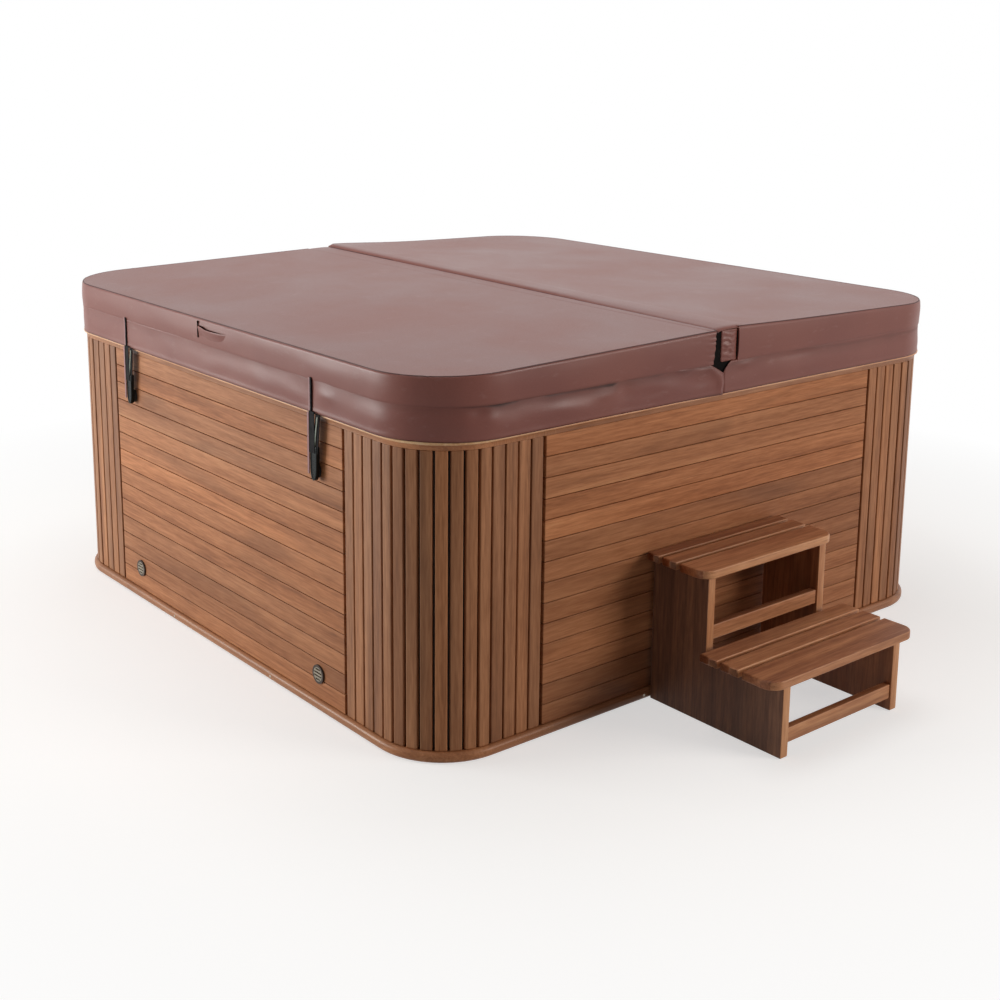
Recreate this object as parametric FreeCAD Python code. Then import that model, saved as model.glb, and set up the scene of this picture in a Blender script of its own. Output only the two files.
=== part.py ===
import FreeCAD
import Part
import math
import os
from FreeCAD import Placement
from FreeCAD import Rotation
from FreeCAD import Vector

# Square hot tub with a slatted cabinet, a folding padded cover and timber steps.
# Millimetres. +Z up, origin on the floor under the middle of the cabinet.
# The steps stand at -Y and the cover folds about an axis along Y.

# Cabinet over its slats
CABINET_WIDTH = 2090.0
CORNER_RADIUS = 200.0
CORNER_SPAN = 370.0
SLAT_THICKNESS = 16.0
SLAT_EDGE_ROUND = 1.6
PANEL_SLATS = 14
PANEL_SLAT_GAP = 3.0
SEAM_GAP = 7.0
FLAT_SLATS = 4
FLAT_SLAT_GAP = 5.0
ARC_SLATS = 8
ARC_SLAT_GAP = 2.6
BATTEN_THICKNESS = 12.0
BATTEN_WIDTH = 40.0
BATTEN_INSET = 27.0
BACKING_CLEARANCE = 0.2

# Trim around the cabinet
BOTTOM_TRIM_HEIGHT = 30.0
BOTTOM_TRIM_PROUD = 12.0
BOTTOM_TRIM_ROUND = 12.0
TOP_TRIM_HEIGHT = 22.0
TOP_TRIM_PROUD = 10.0
TOP_TRIM_ROUND = 9.0
TRIM_SCREW_RADIUS = 4.0
TRIM_SCREW_LENGTH = 20.0
TRIM_SCREW_HEAD_PROUD = 0.6
TRIM_SCREW_OFFSET = 295.0

# Base pan and frame
PAN_PLATE = 8.0
PAN_RIM_WIDTH = 72.0
PAN_CLEARANCE = 0.5
POST_DEPTH = 56.0
POST_WIDTH = 40.0
RAIL_HEIGHT = 40.0
RAIL_END_INSET = 285.0

# Round vents low on the left side
VENT_RADIUS = 27.0
VENT_BARREL_RADIUS = 21.5
VENT_HOLE_CLEARANCE = 0.5
VENT_PROUD = 5.0
VENT_INSET = 135.0
VENT_HEIGHT = 104.0
VENT_BAR = 4.0
VENT_BARS = 4

# Moulded shell
DECK_HEIGHT = 905.0
RIM_ABOVE_DECK = 35.0
SHELL_WALL = 8.0
LIP_INSET = 5.0
LIP_DROP = 84.0
LIP_GAP = 4.0
LIP_EDGE_ROUND = 7.0
RECESS_INSET = 110.0
RECESS_RADIUS = 120.0
RECESS_DRAFT = 4.0
WELL_TOP_INSET = 195.0
WELL_TOP_RADIUS = 230.0
WELL_SEAT_INSET = 255.0
WELL_SEAT_RADIUS = 200.0
SEAT_HEIGHT = 480.0
SEAT_ROUND = 60.0
FOOT_TOP_INSET = 555.0
FOOT_TOP_FLAT = 190.0
FOOT_FLOOR_INSET = 595.0
FOOT_FLOOR_FLAT = 180.0
FOOTWELL_DEPTH = 370.0
FLOOR_ROUND = 50.0
BUCKET_INSET = 485.0
BUCKET_RADIUS = 200.0
BUCKET_FLOOR_RADIUS = 165.0
BUCKET_DEPTH = 40.0
BUCKET_ROUND = 22.0
SECTION_LAP = 2.0

# Jets and suction covers
SEAT_JET_RADIUS = 34.0
SEAT_JET_BARREL = 21.0
OUTER_JET_OFFSET = 440.0
OUTER_JET_LIFTS = [140.0, 260.0]
MIDDLE_JET_OFFSET = 110.0
MIDDLE_JET_LIFTS = [180.0]
FOOT_JET_RADIUS = 44.0
FOOT_JET_BARREL = 28.0
FOOT_JET_OFFSET = 85.0
FOOT_JET_LIFT = 190.0
JET_FLANGE = 7.0
JET_LENGTH = 46.0
JET_BORE_DEPTH = 24.0
JET_HOLE_CLEARANCE = 0.5
SUCTION_RADIUS = 46.0
SUCTION_BARREL = 22.0
SUCTION_LENGTH = 40.0
SUCTION_SLOT = 5.0
SUCTION_SLOTS = 5

# Filter in the back left corner of the deck
FILTER_INSET = 204.0
FILTER_RADIUS = 66.0
FILTER_WALL = 4.0
FILTER_LENGTH = 337.0
CARTRIDGE_RADIUS = 52.0
CARTRIDGE_BORE = 22.0
CARTRIDGE_TOP_GAP = 12.0
LID_RADIUS = 63.0
LID_THICKNESS = 8.0
LID_PLUG_RADIUS = 54.0
LID_PLUG_DEPTH = 14.0
LID_CLEARANCE = 0.1
LID_GRIP_LENGTH = 78.0
LID_GRIP_WIDTH = 14.0
LID_GRIP_HEIGHT = 10.0

# Controls on the deck
PANEL_LENGTH = 190.0
PANEL_WIDTH = 66.0
PANEL_THICKNESS = 12.0
PANEL_ROUND = 18.0
BUTTON_RADIUS = 9.0
BUTTON_CLEARANCE = 0.2
BUTTON_PITCH = 42.0
BUTTON_HEIGHT = 9.0
BUTTON_POCKET = 8.0
BUTTON_TRAVEL = 1.5
KNOB_OFFSET = 260.0
DIVERTER_RADIUS = 30.0
AIR_KNOB_RADIUS = 22.0
KNOB_HEIGHT = 22.0
KNOB_SEAT_GAP = 0.3
KNOB_LOBES = 3
KNOB_LOBE_RADIUS = 9.0
SPINDLE_RADIUS = 7.0
SPINDLE_LENGTH = 60.0
SPINDLE_CLEARANCE = 0.1

# Equipment behind the left panel
PUMP_LIFT = 110.0
MOTOR_RADIUS = 75.0
MOTOR_INSET = 120.0
MOTOR_LENGTH = 213.0
MOTOR_FOOT_WIDTH = 110.0
MOTOR_FOOT_LENGTH = 150.0
WET_END_RADIUS = 84.0
WET_END_LENGTH = 92.0
PORT_RADIUS = 34.0
PORT_LENGTH = 16.0
PIPE_RADIUS = 31.0
PIPE_WALL = 3.0
PIPE_BEND = 60.0
SUCTION_PIPE_GAP = 30.0
RETURN_BEND = 53.7
HEATER_RADIUS = 38.0
HEATER_START = 120.0
HEATER_TAIL = 64.0
HEATER_FLANGE = 12.0
HEATER_FLANGE_WIDTH = 8.0
RETURN_OFFSET = 76.0
RETURN_GAP = 0.3
BOX_LENGTH = 300.0
BOX_DEPTH = 100.0
BOX_HEIGHT = 250.0
BOX_INSET = 100.0
BOX_SEAM_GAP = 75.0
BOX_ROUND = 10.0

# Cover
COVER_OVERHANG = 15.0
COVER_EASE = 35.0
COVER_SEAT_GAP = 0.3
COVER_EDGE_HEIGHT = 76.7
COVER_RISE = 21.0
JACKET = 3.0
CORE_CLEARANCE = 0.3
SKIRT_DROP = 88.3
SKIRT_SPLIT = -22.0
SKIRT_SLIT = 2.0
NOTCH_HALF = 30.0
NOTCH_DEPTH = 20.0
LEFT_FACE = 57.0
RIGHT_FACE = 36.5
TOP_SHEET_SLIT = 1.0
SEAL_START = -29.0
SEAL_LIFT = 21.7
SEAL_CLEARANCE = 0.3
SEAL_ROUND = 12.0
CHANNEL_DEPTH = 40.0
CHANNEL_SHEET = 1.5
CHANNEL_END_INSET = 40.0

# Carrying handles
HANDLE_LENGTH = 214.0
HANDLE_PAD = 26.0
HANDLE_SLOPE = 22.0
HANDLE_HEIGHT = 48.0
HANDLE_LIFT = 36.7
HANDLE_STOCK = 3.0
HANDLE_STAND = 14.0
HANDLE_CLEARANCE = 0.3

# Hold-down straps and buckles
STRAP_INSET = 130.0
STRAP_WIDTH = 30.0
STRAP_STOCK = 3.0
STRAP_LAP = 4.7
STRAP_CLEARANCE = 0.4
TONGUE_DROP = 140.0
TONGUE_HEIGHT = 50.0
TONGUE_WIDTH = 38.0
TONGUE_DEPTH = 10.0
TONGUE_ROUND = 3.0
TONGUE_TRIM_GAP = 0.7
BASE_RAIL = 5.0
BASE_LEDGE = 6.0
BASE_FIT = 1.0
BASE_TOP_DROP = 8.0

# Steps
STEP_CENTRE = -24.0
STEP_WIDTH = 496.0
STEP_SIDE = 29.0
STEP_BACK_GAP = 0.3
STEP_DEPTH = 488.0
STEP_RISER_DEPTH = 217.0
LOWER_TREAD_TOP = 226.0
UPPER_TREAD_TOP = 440.0
TREAD_THICKNESS = 24.0
LOWER_TREAD_LENGTH = 604.0
UPPER_TREAD_LENGTH = 544.0
LOWER_BOARDS = [107.0, 60.0, 60.0]
UPPER_BOARDS = [96.0, 52.0, 42.0]
BOARD_GAP = 14.0
LOWER_NOSE = 12.0
UPPER_NOSE = 12.0
NOSE_ROUND = 40.0
BOARD_ROUND = 3.0
STEP_RAIL_HEIGHT = 42.0
STEP_RAIL_THICKNESS = 22.0
UPPER_RAIL_BOTTOM = 234.0
LOWER_RAIL_BOTTOM = 36.0
STEP_RAIL_INSET = 4.0
DOWEL_RADIUS = 4.0
DOWEL_DEPTH = 16.0

# Places that follow from the sizes above
A = CABINET_WIDTH / 2
UP = Vector(0, 0, 1)
RIM_HEIGHT = DECK_HEIGHT + RIM_ABOVE_DECK
TOP_TRIM_TOP = RIM_HEIGHT - LIP_DROP - LIP_GAP
SLAT_LOW = BOTTOM_TRIM_HEIGHT
SLAT_HIGH = TOP_TRIM_TOP - TOP_TRIM_HEIGHT
SLAT_ZONE = SLAT_HIGH - SLAT_LOW
SLAT_BACK = A - SLAT_THICKNESS
FRAME_FACE = SLAT_BACK - BATTEN_THICKNESS
SEAM = A - CORNER_SPAN
BATTEN_OFFSET = SEAM - BATTEN_INSET
VENT_OFFSET = SEAM - VENT_INSET
STRAP_OFFSET = SEAM - STRAP_INSET
RAIL_HALF_LENGTH = A - RAIL_END_INSET
RAIL_TOP = RIM_HEIGHT - SHELL_WALL
RAIL_LOW = RAIL_TOP - RAIL_HEIGHT
LIP_HALF = A - LIP_INSET
LIP_RADIUS = CORNER_RADIUS - LIP_INSET
RECESS_HALF = A - RECESS_INSET
WELL_TOP_HALF = A - WELL_TOP_INSET
WELL_SEAT_HALF = A - WELL_SEAT_INSET
FOOT_TOP_HALF = A - FOOT_TOP_INSET
FOOT_FLOOR_HALF = A - FOOT_FLOOR_INSET
FOOT_TOP_RADIUS = FOOT_TOP_HALF - FOOT_TOP_FLAT
FOOT_FLOOR_RADIUS = FOOT_FLOOR_HALF - FOOT_FLOOR_FLAT
FLOOR_HEIGHT = SEAT_HEIGHT - FOOTWELL_DEPTH
FOOT_JET_HEIGHT = FLOOR_HEIGHT + FOOT_JET_LIFT
OUTER_JET_HEIGHTS = [SEAT_HEIGHT + lift for lift in OUTER_JET_LIFTS]
MIDDLE_JET_HEIGHTS = [SEAT_HEIGHT + lift for lift in MIDDLE_JET_LIFTS]
PUMP_HEIGHT = FLOOR_HEIGHT + PUMP_LIFT
RETURN_TOP = SEAT_HEIGHT - BUCKET_DEPTH - SHELL_WALL - RETURN_GAP
HEATER_HEIGHT = RETURN_TOP - RETURN_BEND
BUCKET_OFFSET = A - BUCKET_INSET
FILTER_OFFSET = A - FILTER_INSET
FILTER_BOTTOM = DECK_HEIGHT - SHELL_WALL - FILTER_LENGTH
MOTOR_START = MOTOR_INSET - A
MOTOR_END = MOTOR_START + MOTOR_LENGTH
RETURN_BEND_START = BUCKET_OFFSET - RETURN_OFFSET
HEATER_LENGTH = RETURN_BEND_START - HEATER_TAIL - HEATER_START
BOX_X = BOX_INSET - A
BOX_Y = BOX_SEAM_GAP - SEAM
COVER_HALF = A + COVER_OVERHANG
COVER_RADIUS = CORNER_RADIUS + COVER_EASE
COVER_LOW = RIM_HEIGHT + COVER_SEAT_GAP
COVER_EDGE = COVER_LOW + COVER_EDGE_HEIGHT
COVER_RIDGE = COVER_EDGE + COVER_RISE
SKIRT_BOTTOM = COVER_LOW - SKIRT_DROP
SEAL_BOTTOM = COVER_LOW + SEAL_LIFT
HANDLE_CENTRE = COVER_LOW + HANDLE_LIFT
STRAP_TOP = COVER_LOW + STRAP_LAP
TONGUE_TOP = SKIRT_BOTTOM - TONGUE_DROP
TONGUE_BOTTOM = TONGUE_TOP - TONGUE_HEIGHT
BASE_TOP = TONGUE_TOP - BASE_TOP_DROP
BASE_PLATE = TOP_TRIM_PROUD + TONGUE_TRIM_GAP - BASE_FIT
STEP_FRONT = A + STEP_DEPTH
STEP_RISER = A + STEP_RISER_DEPTH
WELL_SLOPE = math.degrees(math.atan2(WELL_TOP_HALF - WELL_SEAT_HALF, DECK_HEIGHT - SEAT_HEIGHT))
FOOT_SLOPE = math.degrees(math.atan2(FOOT_TOP_HALF - FOOT_FLOOR_HALF, SEAT_HEIGHT - FLOOR_HEIGHT))


def box(x0, x1, y0, y1, z0, z1):
    return Part.makeBox(x1 - x0, y1 - y0, z1 - z0, Vector(x0, y0, z0))


def pole(radius, start, end):
    axis = end - start
    return Part.makeCylinder(radius, axis.Length, start, axis)


def outline(points):
    return Part.Face(Part.makePolygon(points + points[:1]))


def spun(shape, degrees):
    turned = shape.copy()
    turned.rotate(Vector(0, 0, 0), UP, degrees)
    return turned


def mirrored(shape):
    return shape.mirror(Vector(0, 0, 0), Vector(1, 0, 0))


def rounded_square(half, radius, z):
    flat = half - radius
    knee = flat + radius * math.cos(math.radians(45))
    edges = []
    for quarter in range(4):
        turn = Rotation(UP, 90 * quarter)
        start = turn.multVec(Vector(half, -flat, z))
        bend = turn.multVec(Vector(half, flat, z))
        middle = turn.multVec(Vector(knee, knee, z))
        end = turn.multVec(Vector(flat, half, z))
        edges.append(Part.makeLine(start, bend))
        edges.append(Part.Arc(bend, middle, end).toShape())
    return Part.Wire(edges)


def slab(half, radius, low, high):
    return Part.Face(rounded_square(half, radius, low)).extrude(Vector(0, 0, high - low))


def taper(low_half, low_radius, low, high_half, high_radius, high):
    lower = rounded_square(low_half, low_radius, low)
    upper = rounded_square(high_half, high_radius, high)
    return Part.makeLoft([lower, upper], True, True)


def edges_at(shape, z):
    return [e for e in shape.Edges if abs(e.BoundBox.ZMin - z) < 0.01 and abs(e.BoundBox.ZMax - z) < 0.01]


def edges_facing(shape, axis, value):
    found = []
    for e in shape.Edges:
        low = (e.BoundBox.XMin, e.BoundBox.YMin, e.BoundBox.ZMin)[axis]
        high = (e.BoundBox.XMax, e.BoundBox.YMax, e.BoundBox.ZMax)[axis]
        if abs(low - value) < 0.01 and abs(high - value) < 0.01:
            found.append(e)
    return found


def placed(shape, position, direction):
    set_down = shape.copy()
    set_down.Placement = Placement(position, Rotation(UP, direction))
    return set_down


def save(name, solids):
    shape = solids[0] if len(solids) == 1 else Part.makeCompound(solids)
    shape.exportStep("parts/" + name + ".step")


def slat(x0, x1, y0, y1, z0, z1, axis, face):
    board = box(x0, x1, y0, y1, z0, z1)
    return board.makeFillet(SLAT_EDGE_ROUND, edges_facing(board, axis, face))


def trim_pieces(low, high, proud, rounding, back):
    outer = A + proud
    flat = A - CORNER_RADIUS
    tip = rounding * (1 - math.cos(math.radians(45)))
    lower_arc = Part.Arc(
        Vector(outer - rounding, 0, low), Vector(outer - tip, 0, low + tip), Vector(outer, 0, low + rounding)
    )
    upper_arc = Part.Arc(
        Vector(outer, 0, high - rounding),
        Vector(outer - tip, 0, high - tip),
        Vector(outer - rounding, 0, high),
    )
    edges = [
        Part.makeLine(Vector(back, 0, low), Vector(outer - rounding, 0, low)),
        lower_arc.toShape(),
        Part.makeLine(Vector(outer, 0, low + rounding), Vector(outer, 0, high - rounding)),
        upper_arc.toShape(),
        Part.makeLine(Vector(outer - rounding, 0, high), Vector(back, 0, high)),
        Part.makeLine(Vector(back, 0, high), Vector(back, 0, low)),
    ]
    profile = Part.Face(Part.Wire(edges))
    profile.translate(Vector(0, -flat, 0))
    straight = profile.extrude(Vector(0, 2 * flat, 0))
    profile.translate(Vector(0, 2 * flat, 0))
    corner = profile.revolve(Vector(flat, flat, 0), UP, 90)
    return [spun(piece, 90 * side) for side in range(4) for piece in (straight, corner)]


def panel_slats():
    pitch = SLAT_ZONE / PANEL_SLATS
    reach = SEAM - SEAM_GAP
    boards = []
    for row in range(PANEL_SLATS):
        low = SLAT_LOW + row * pitch + PANEL_SLAT_GAP / 2
        high = low + pitch - PANEL_SLAT_GAP
        boards.append(slat(-reach, reach, -A, -SLAT_BACK, low, high, 1, -A))
    return boards


def corner_slats():
    boards = []
    flat_pitch = (CORNER_SPAN - CORNER_RADIUS) / FLAT_SLATS
    for place in range(FLAT_SLATS):
        low = SEAM + place * flat_pitch + FLAT_SLAT_GAP / 2
        high = low + flat_pitch - FLAT_SLAT_GAP
        boards.append(slat(-A, -SLAT_BACK, -high, -low, SLAT_LOW, SLAT_HIGH, 0, -A))
        boards.append(slat(-high, -low, -A, -SLAT_BACK, SLAT_LOW, SLAT_HIGH, 1, -A))
    step = 90.0 / ARC_SLATS
    back = CORNER_RADIUS - SLAT_THICKNESS
    half = back * math.tan(math.radians(step / 2)) - ARC_SLAT_GAP / 2
    centre = A - CORNER_RADIUS
    board = slat(-CORNER_RADIUS, -back, -half, half, SLAT_LOW, SLAT_HIGH, 0, -CORNER_RADIUS)
    for place in range(ARC_SLATS):
        turned = spun(board, step * (place + 0.5))
        turned.translate(Vector(-centre, -centre, 0))
        boards.append(turned)
    return boards


def corner_backing():
    outer = SLAT_BACK - BACKING_CLEARANCE
    flat = A - CORNER_RADIUS
    profile = outline(
        [
            Vector(FRAME_FACE, SEAM, SLAT_LOW),
            Vector(outer, SEAM, SLAT_LOW),
            Vector(outer, SEAM, SLAT_HIGH),
            Vector(FRAME_FACE, SEAM, SLAT_HIGH),
        ]
    )
    first = profile.extrude(Vector(0, flat - SEAM, 0))
    profile.translate(Vector(0, flat - SEAM, 0))
    bend = profile.revolve(Vector(flat, flat, 0), UP, 90)
    last = spun(first.mirror(Vector(0, 0, 0), Vector(0, 1, 0)), 90)
    return first.fuse([bend, last]).removeSplitter()


def bowl(grow):
    top = RIM_HEIGHT + 20.0
    recess_half = RECESS_HALF + grow
    lean = RECESS_DRAFT * (top - DECK_HEIGHT) / (RIM_HEIGHT - DECK_HEIGHT)
    recess = taper(
        recess_half, RECESS_RADIUS + grow, DECK_HEIGHT - grow, recess_half + lean, RECESS_RADIUS + grow, top
    )
    well = taper(
        WELL_SEAT_HALF + grow,
        WELL_SEAT_RADIUS + grow,
        SEAT_HEIGHT - grow,
        WELL_TOP_HALF + grow,
        WELL_TOP_RADIUS + grow,
        DECK_HEIGHT,
    )
    well = well.makeFillet(SEAT_ROUND + grow, edges_at(well, SEAT_HEIGHT - grow))
    foot = taper(
        FOOT_FLOOR_HALF + grow,
        FOOT_FLOOR_RADIUS + grow,
        FLOOR_HEIGHT - grow,
        FOOT_TOP_HALF + grow,
        FOOT_TOP_RADIUS + grow,
        SEAT_HEIGHT,
    )
    foot = foot.makeFillet(FLOOR_ROUND + grow, edges_at(foot, FLOOR_HEIGHT - grow))
    pieces = [well, foot]
    bucket_low = SEAT_HEIGHT - BUCKET_DEPTH - grow
    bucket = Part.makeCone(
        BUCKET_FLOOR_RADIUS + grow, BUCKET_RADIUS + grow, BUCKET_DEPTH + grow, Vector(0, 0, bucket_low)
    )
    bucket = bucket.makeFillet(BUCKET_ROUND + grow, edges_at(bucket, bucket_low))
    for turn in range(4):
        seat = bucket.copy()
        seat.translate(Vector(BUCKET_OFFSET, BUCKET_OFFSET, 0))
        pieces.append(spun(seat, 90 * turn))
    return recess.fuse(pieces)


def jet(radius, barrel):
    body = Part.makeCylinder(radius, JET_FLANGE)
    body = body.makeFillet(JET_FLANGE * 0.6, edges_at(body, JET_FLANGE))
    body = body.fuse(Part.makeCylinder(barrel, JET_LENGTH, Vector(0, 0, -JET_LENGTH))).removeSplitter()
    throat = Part.makeCone(
        barrel * 0.45, barrel * 0.8, JET_BORE_DEPTH, Vector(0, 0, JET_FLANGE - JET_BORE_DEPTH)
    )
    return body.cut(throat)


def jet_hole(barrel):
    return Part.makeCylinder(barrel + JET_HOLE_CLEARANCE, JET_LENGTH, Vector(0, 0, -JET_LENGTH / 2))


def suction_cover():
    body = Part.makeCylinder(SUCTION_RADIUS, JET_FLANGE)
    body = body.makeFillet(JET_FLANGE * 0.6, edges_at(body, JET_FLANGE))
    pitch = 2 * SUCTION_SLOT
    for slot in range(SUCTION_SLOTS):
        y = (slot - (SUCTION_SLOTS - 1) / 2) * pitch
        long = math.sqrt((SUCTION_RADIUS * 0.78) ** 2 - y * y)
        y0 = y - SUCTION_SLOT / 2
        body = body.cut(box(-long, long, y0, y0 + SUCTION_SLOT, JET_FLANGE * 0.4, JET_FLANGE * 2))
    return body.fuse(Part.makeCylinder(SUCTION_BARREL, SUCTION_LENGTH, Vector(0, 0, -SUCTION_LENGTH)))


def wall_place(side, along, z, top_half, low_half, low, high, slope):
    half = low_half + (top_half - low_half) * (z - low) / (high - low)
    turn = Rotation(UP, 90 * side)
    lean = math.radians(slope)
    position = turn.multVec(Vector(along, -half, z))
    direction = turn.multVec(Vector(0, math.cos(lean), math.sin(lean)))
    return position, direction


def seat_wall(side, along, z):
    return wall_place(
        side, along, z, WELL_TOP_HALF, WELL_SEAT_HALF, SEAT_HEIGHT, DECK_HEIGHT, WELL_SLOPE
    )


def foot_wall(side, along, z):
    return wall_place(
        side, along, z, FOOT_TOP_HALF, FOOT_FLOOR_HALF, FLOOR_HEIGHT, SEAT_HEIGHT, FOOT_SLOPE
    )


def knob(radius):
    low = DECK_HEIGHT + KNOB_SEAT_GAP
    grip = Part.makeCylinder(radius, KNOB_HEIGHT, Vector(0, 0, low))
    for lobe in range(KNOB_LOBES):
        turn = Rotation(UP, 360.0 * lobe / KNOB_LOBES)
        place = turn.multVec(Vector(radius + KNOB_LOBE_RADIUS * 0.55, 0, low + KNOB_HEIGHT * 0.35))
        grip = grip.cut(Part.makeCylinder(KNOB_LOBE_RADIUS, KNOB_HEIGHT, place))
    stem = Part.makeCylinder(SPINDLE_RADIUS, SPINDLE_LENGTH, Vector(0, 0, low - SPINDLE_LENGTH))
    return grip.fuse(stem).removeSplitter()


def ridge_height(x):
    return COVER_RIDGE - (COVER_RIDGE - COVER_EDGE) * abs(x) / COVER_HALF


def cover_block(face, inset):
    start = face + inset
    end = COVER_HALF - inset
    low = COVER_LOW + inset
    section = outline(
        [
            Vector(start, inset - COVER_HALF, low),
            Vector(end, inset - COVER_HALF, low),
            Vector(end, inset - COVER_HALF, ridge_height(end) - inset),
            Vector(start, inset - COVER_HALF, ridge_height(start) - inset),
        ]
    )
    wedge = section.extrude(Vector(0, 2 * end, 0))
    return wedge.common(slab(end, COVER_RADIUS - inset, COVER_LOW - 10, COVER_RIDGE + 10))


def cover_jacket(face):
    sheet = outline(
        [
            Vector(TOP_SHEET_SLIT, -COVER_HALF, ridge_height(TOP_SHEET_SLIT) - JACKET),
            Vector(face + JACKET, -COVER_HALF, ridge_height(face + JACKET) - JACKET),
            Vector(face + JACKET, -COVER_HALF, ridge_height(face + JACKET)),
            Vector(TOP_SHEET_SLIT, -COVER_HALF, ridge_height(TOP_SHEET_SLIT)),
        ]
    )
    flap = sheet.extrude(Vector(0, 2 * COVER_HALF, 0))
    shell = cover_block(face, 0).fuse(flap).removeSplitter()
    return shell.cut(cover_block(face, JACKET))


def channel(face):
    start = face + JACKET + CORE_CLEARANCE
    end = start + CHANNEL_DEPTH
    low = COVER_LOW + JACKET + CORE_CLEARANCE
    drop = JACKET + CORE_CLEARANCE
    reach = COVER_HALF - CHANNEL_END_INSET
    outside = [
        Vector(start, -reach, low),
        Vector(end, -reach, low),
        Vector(end, -reach, ridge_height(end) - drop),
        Vector(start, -reach, ridge_height(start) - drop),
    ]
    web = start + CHANNEL_SHEET
    inside = [
        Vector(web, -reach, low + CHANNEL_SHEET),
        Vector(end, -reach, low + CHANNEL_SHEET),
        Vector(end, -reach, ridge_height(end) - drop - CHANNEL_SHEET),
        Vector(web, -reach, ridge_height(web) - drop - CHANNEL_SHEET),
    ]
    run = Vector(0, 2 * reach, 0)
    return outline(outside).extrude(run).cut(outline(inside).extrude(run))


def skirt(split):
    ring = slab(COVER_HALF, COVER_RADIUS, SKIRT_BOTTOM, COVER_LOW)
    ring = ring.cut(slab(COVER_HALF - JACKET, COVER_RADIUS - JACKET, SKIRT_BOTTOM, COVER_LOW))
    start = split + SKIRT_SLIT
    ring = ring.common(box(start, COVER_HALF, -COVER_HALF, COVER_HALF, SKIRT_BOTTOM, COVER_LOW))
    notch = outline(
        [
            Vector(split, -COVER_HALF, COVER_LOW),
            Vector(split + NOTCH_HALF, -COVER_HALF, COVER_LOW),
            Vector(split, -COVER_HALF, COVER_LOW - NOTCH_DEPTH),
        ]
    )
    return ring.cut(notch.extrude(Vector(0, 2 * COVER_HALF, 0)))


def hinge_seal():
    end = RIGHT_FACE - SEAL_CLEARANCE
    drop = JACKET + SEAL_CLEARANCE
    section = outline(
        [
            Vector(SEAL_START, -COVER_HALF, SEAL_BOTTOM),
            Vector(end, -COVER_HALF, SEAL_BOTTOM),
            Vector(end, -COVER_HALF, ridge_height(end) - drop),
            Vector(SEAL_START, -COVER_HALF, ridge_height(SEAL_START) - drop),
        ]
    )
    block = section.extrude(Vector(0, 2 * COVER_HALF, 0))
    return block.makeFillet(SEAL_ROUND, long_low_edges(block))


def long_low_edges(block):
    return [e for e in block.Edges if e.BoundBox.YLength > COVER_HALF and e.BoundBox.ZMax < SEAL_BOTTOM + 1]


def handle():
    inner = COVER_HALF + HANDLE_CLEARANCE
    outer = inner + HANDLE_STAND
    end = HANDLE_LENGTH / 2
    pad = end - HANDLE_PAD
    bow = pad - HANDLE_SLOPE
    low = HANDLE_CENTRE - HANDLE_HEIGHT / 2
    near = [(inner, end), (inner, pad), (outer, bow), (outer, -bow), (inner, -pad), (inner, -end)]
    far = [(x + HANDLE_STOCK, y) for x, y in reversed(near)]
    strip = outline([Vector(x, y, low) for x, y in near + far])
    return strip.extrude(Vector(0, 0, HANDLE_HEIGHT))


def strap():
    inner = COVER_HALF + STRAP_CLEARANCE
    half = STRAP_WIDTH / 2
    return box(inner, inner + STRAP_STOCK, -half, half, TONGUE_TOP, STRAP_TOP)


def tongue():
    inner = A + BASE_PLATE + BASE_FIT
    half = TONGUE_WIDTH / 2
    block = box(inner, inner + TONGUE_DEPTH, -half, half, TONGUE_BOTTOM, TONGUE_TOP)
    outer = inner + TONGUE_DEPTH
    block = block.makeFillet(TONGUE_ROUND, edges_facing(block, 0, outer))
    shoulder = COVER_HALF + STRAP_CLEARANCE + STRAP_STOCK
    lug = box(inner, shoulder, -half + BASE_RAIL, half - BASE_RAIL, BASE_TOP, TONGUE_TOP)
    return block.fuse(lug).removeSplitter()


def buckle_base():
    half = TONGUE_WIDTH / 2 + BASE_FIT
    low = TONGUE_BOTTOM - BASE_FIT - BASE_LEDGE
    face = A + BASE_PLATE
    front = face + BASE_FIT + TONGUE_DEPTH
    plate = box(A, face, -half - BASE_RAIL, half + BASE_RAIL, low, BASE_TOP)
    near = box(A, front, -half - BASE_RAIL, -half, low, BASE_TOP)
    far = box(A, front, half, half + BASE_RAIL, low, BASE_TOP)
    ledge = box(A, front, -half - BASE_RAIL, half + BASE_RAIL, low, low + BASE_LEDGE)
    return plate.fuse([near, far, ledge]).removeSplitter()


def beside(shape, along):
    moved = shape.copy()
    moved.translate(Vector(0, along, 0))
    return moved


def tread(front, top, length, boards):
    pieces = []
    y = -front
    half = length / 2
    low = top - TREAD_THICKNESS
    for place, width in enumerate(boards):
        board = box(STEP_CENTRE - half, STEP_CENTRE + half, y, y + width, low, top)
        if place == 0:
            nose_corners = [e for e in edges_facing(board, 1, y) if e.BoundBox.ZLength > TREAD_THICKNESS / 2]
            board = board.makeFillet(NOSE_ROUND, nose_corners)
        pieces.append(board.makeFillet(BOARD_ROUND, edges_at(board, top)))
        y += width + BOARD_GAP
    return pieces


def step_side(x):
    back = -(A + BOTTOM_TRIM_PROUD + STEP_BACK_GAP)
    lower = LOWER_TREAD_TOP - TREAD_THICKNESS
    upper = UPPER_TREAD_TOP - TREAD_THICKNESS
    shape = outline(
        [
            Vector(x, back, 0),
            Vector(x, -STEP_FRONT, 0),
            Vector(x, -STEP_FRONT, lower),
            Vector(x, -STEP_RISER, lower),
            Vector(x, -STEP_RISER, upper),
            Vector(x, back, upper),
        ]
    )
    return shape.extrude(Vector(STEP_SIDE, 0, 0))


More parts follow.
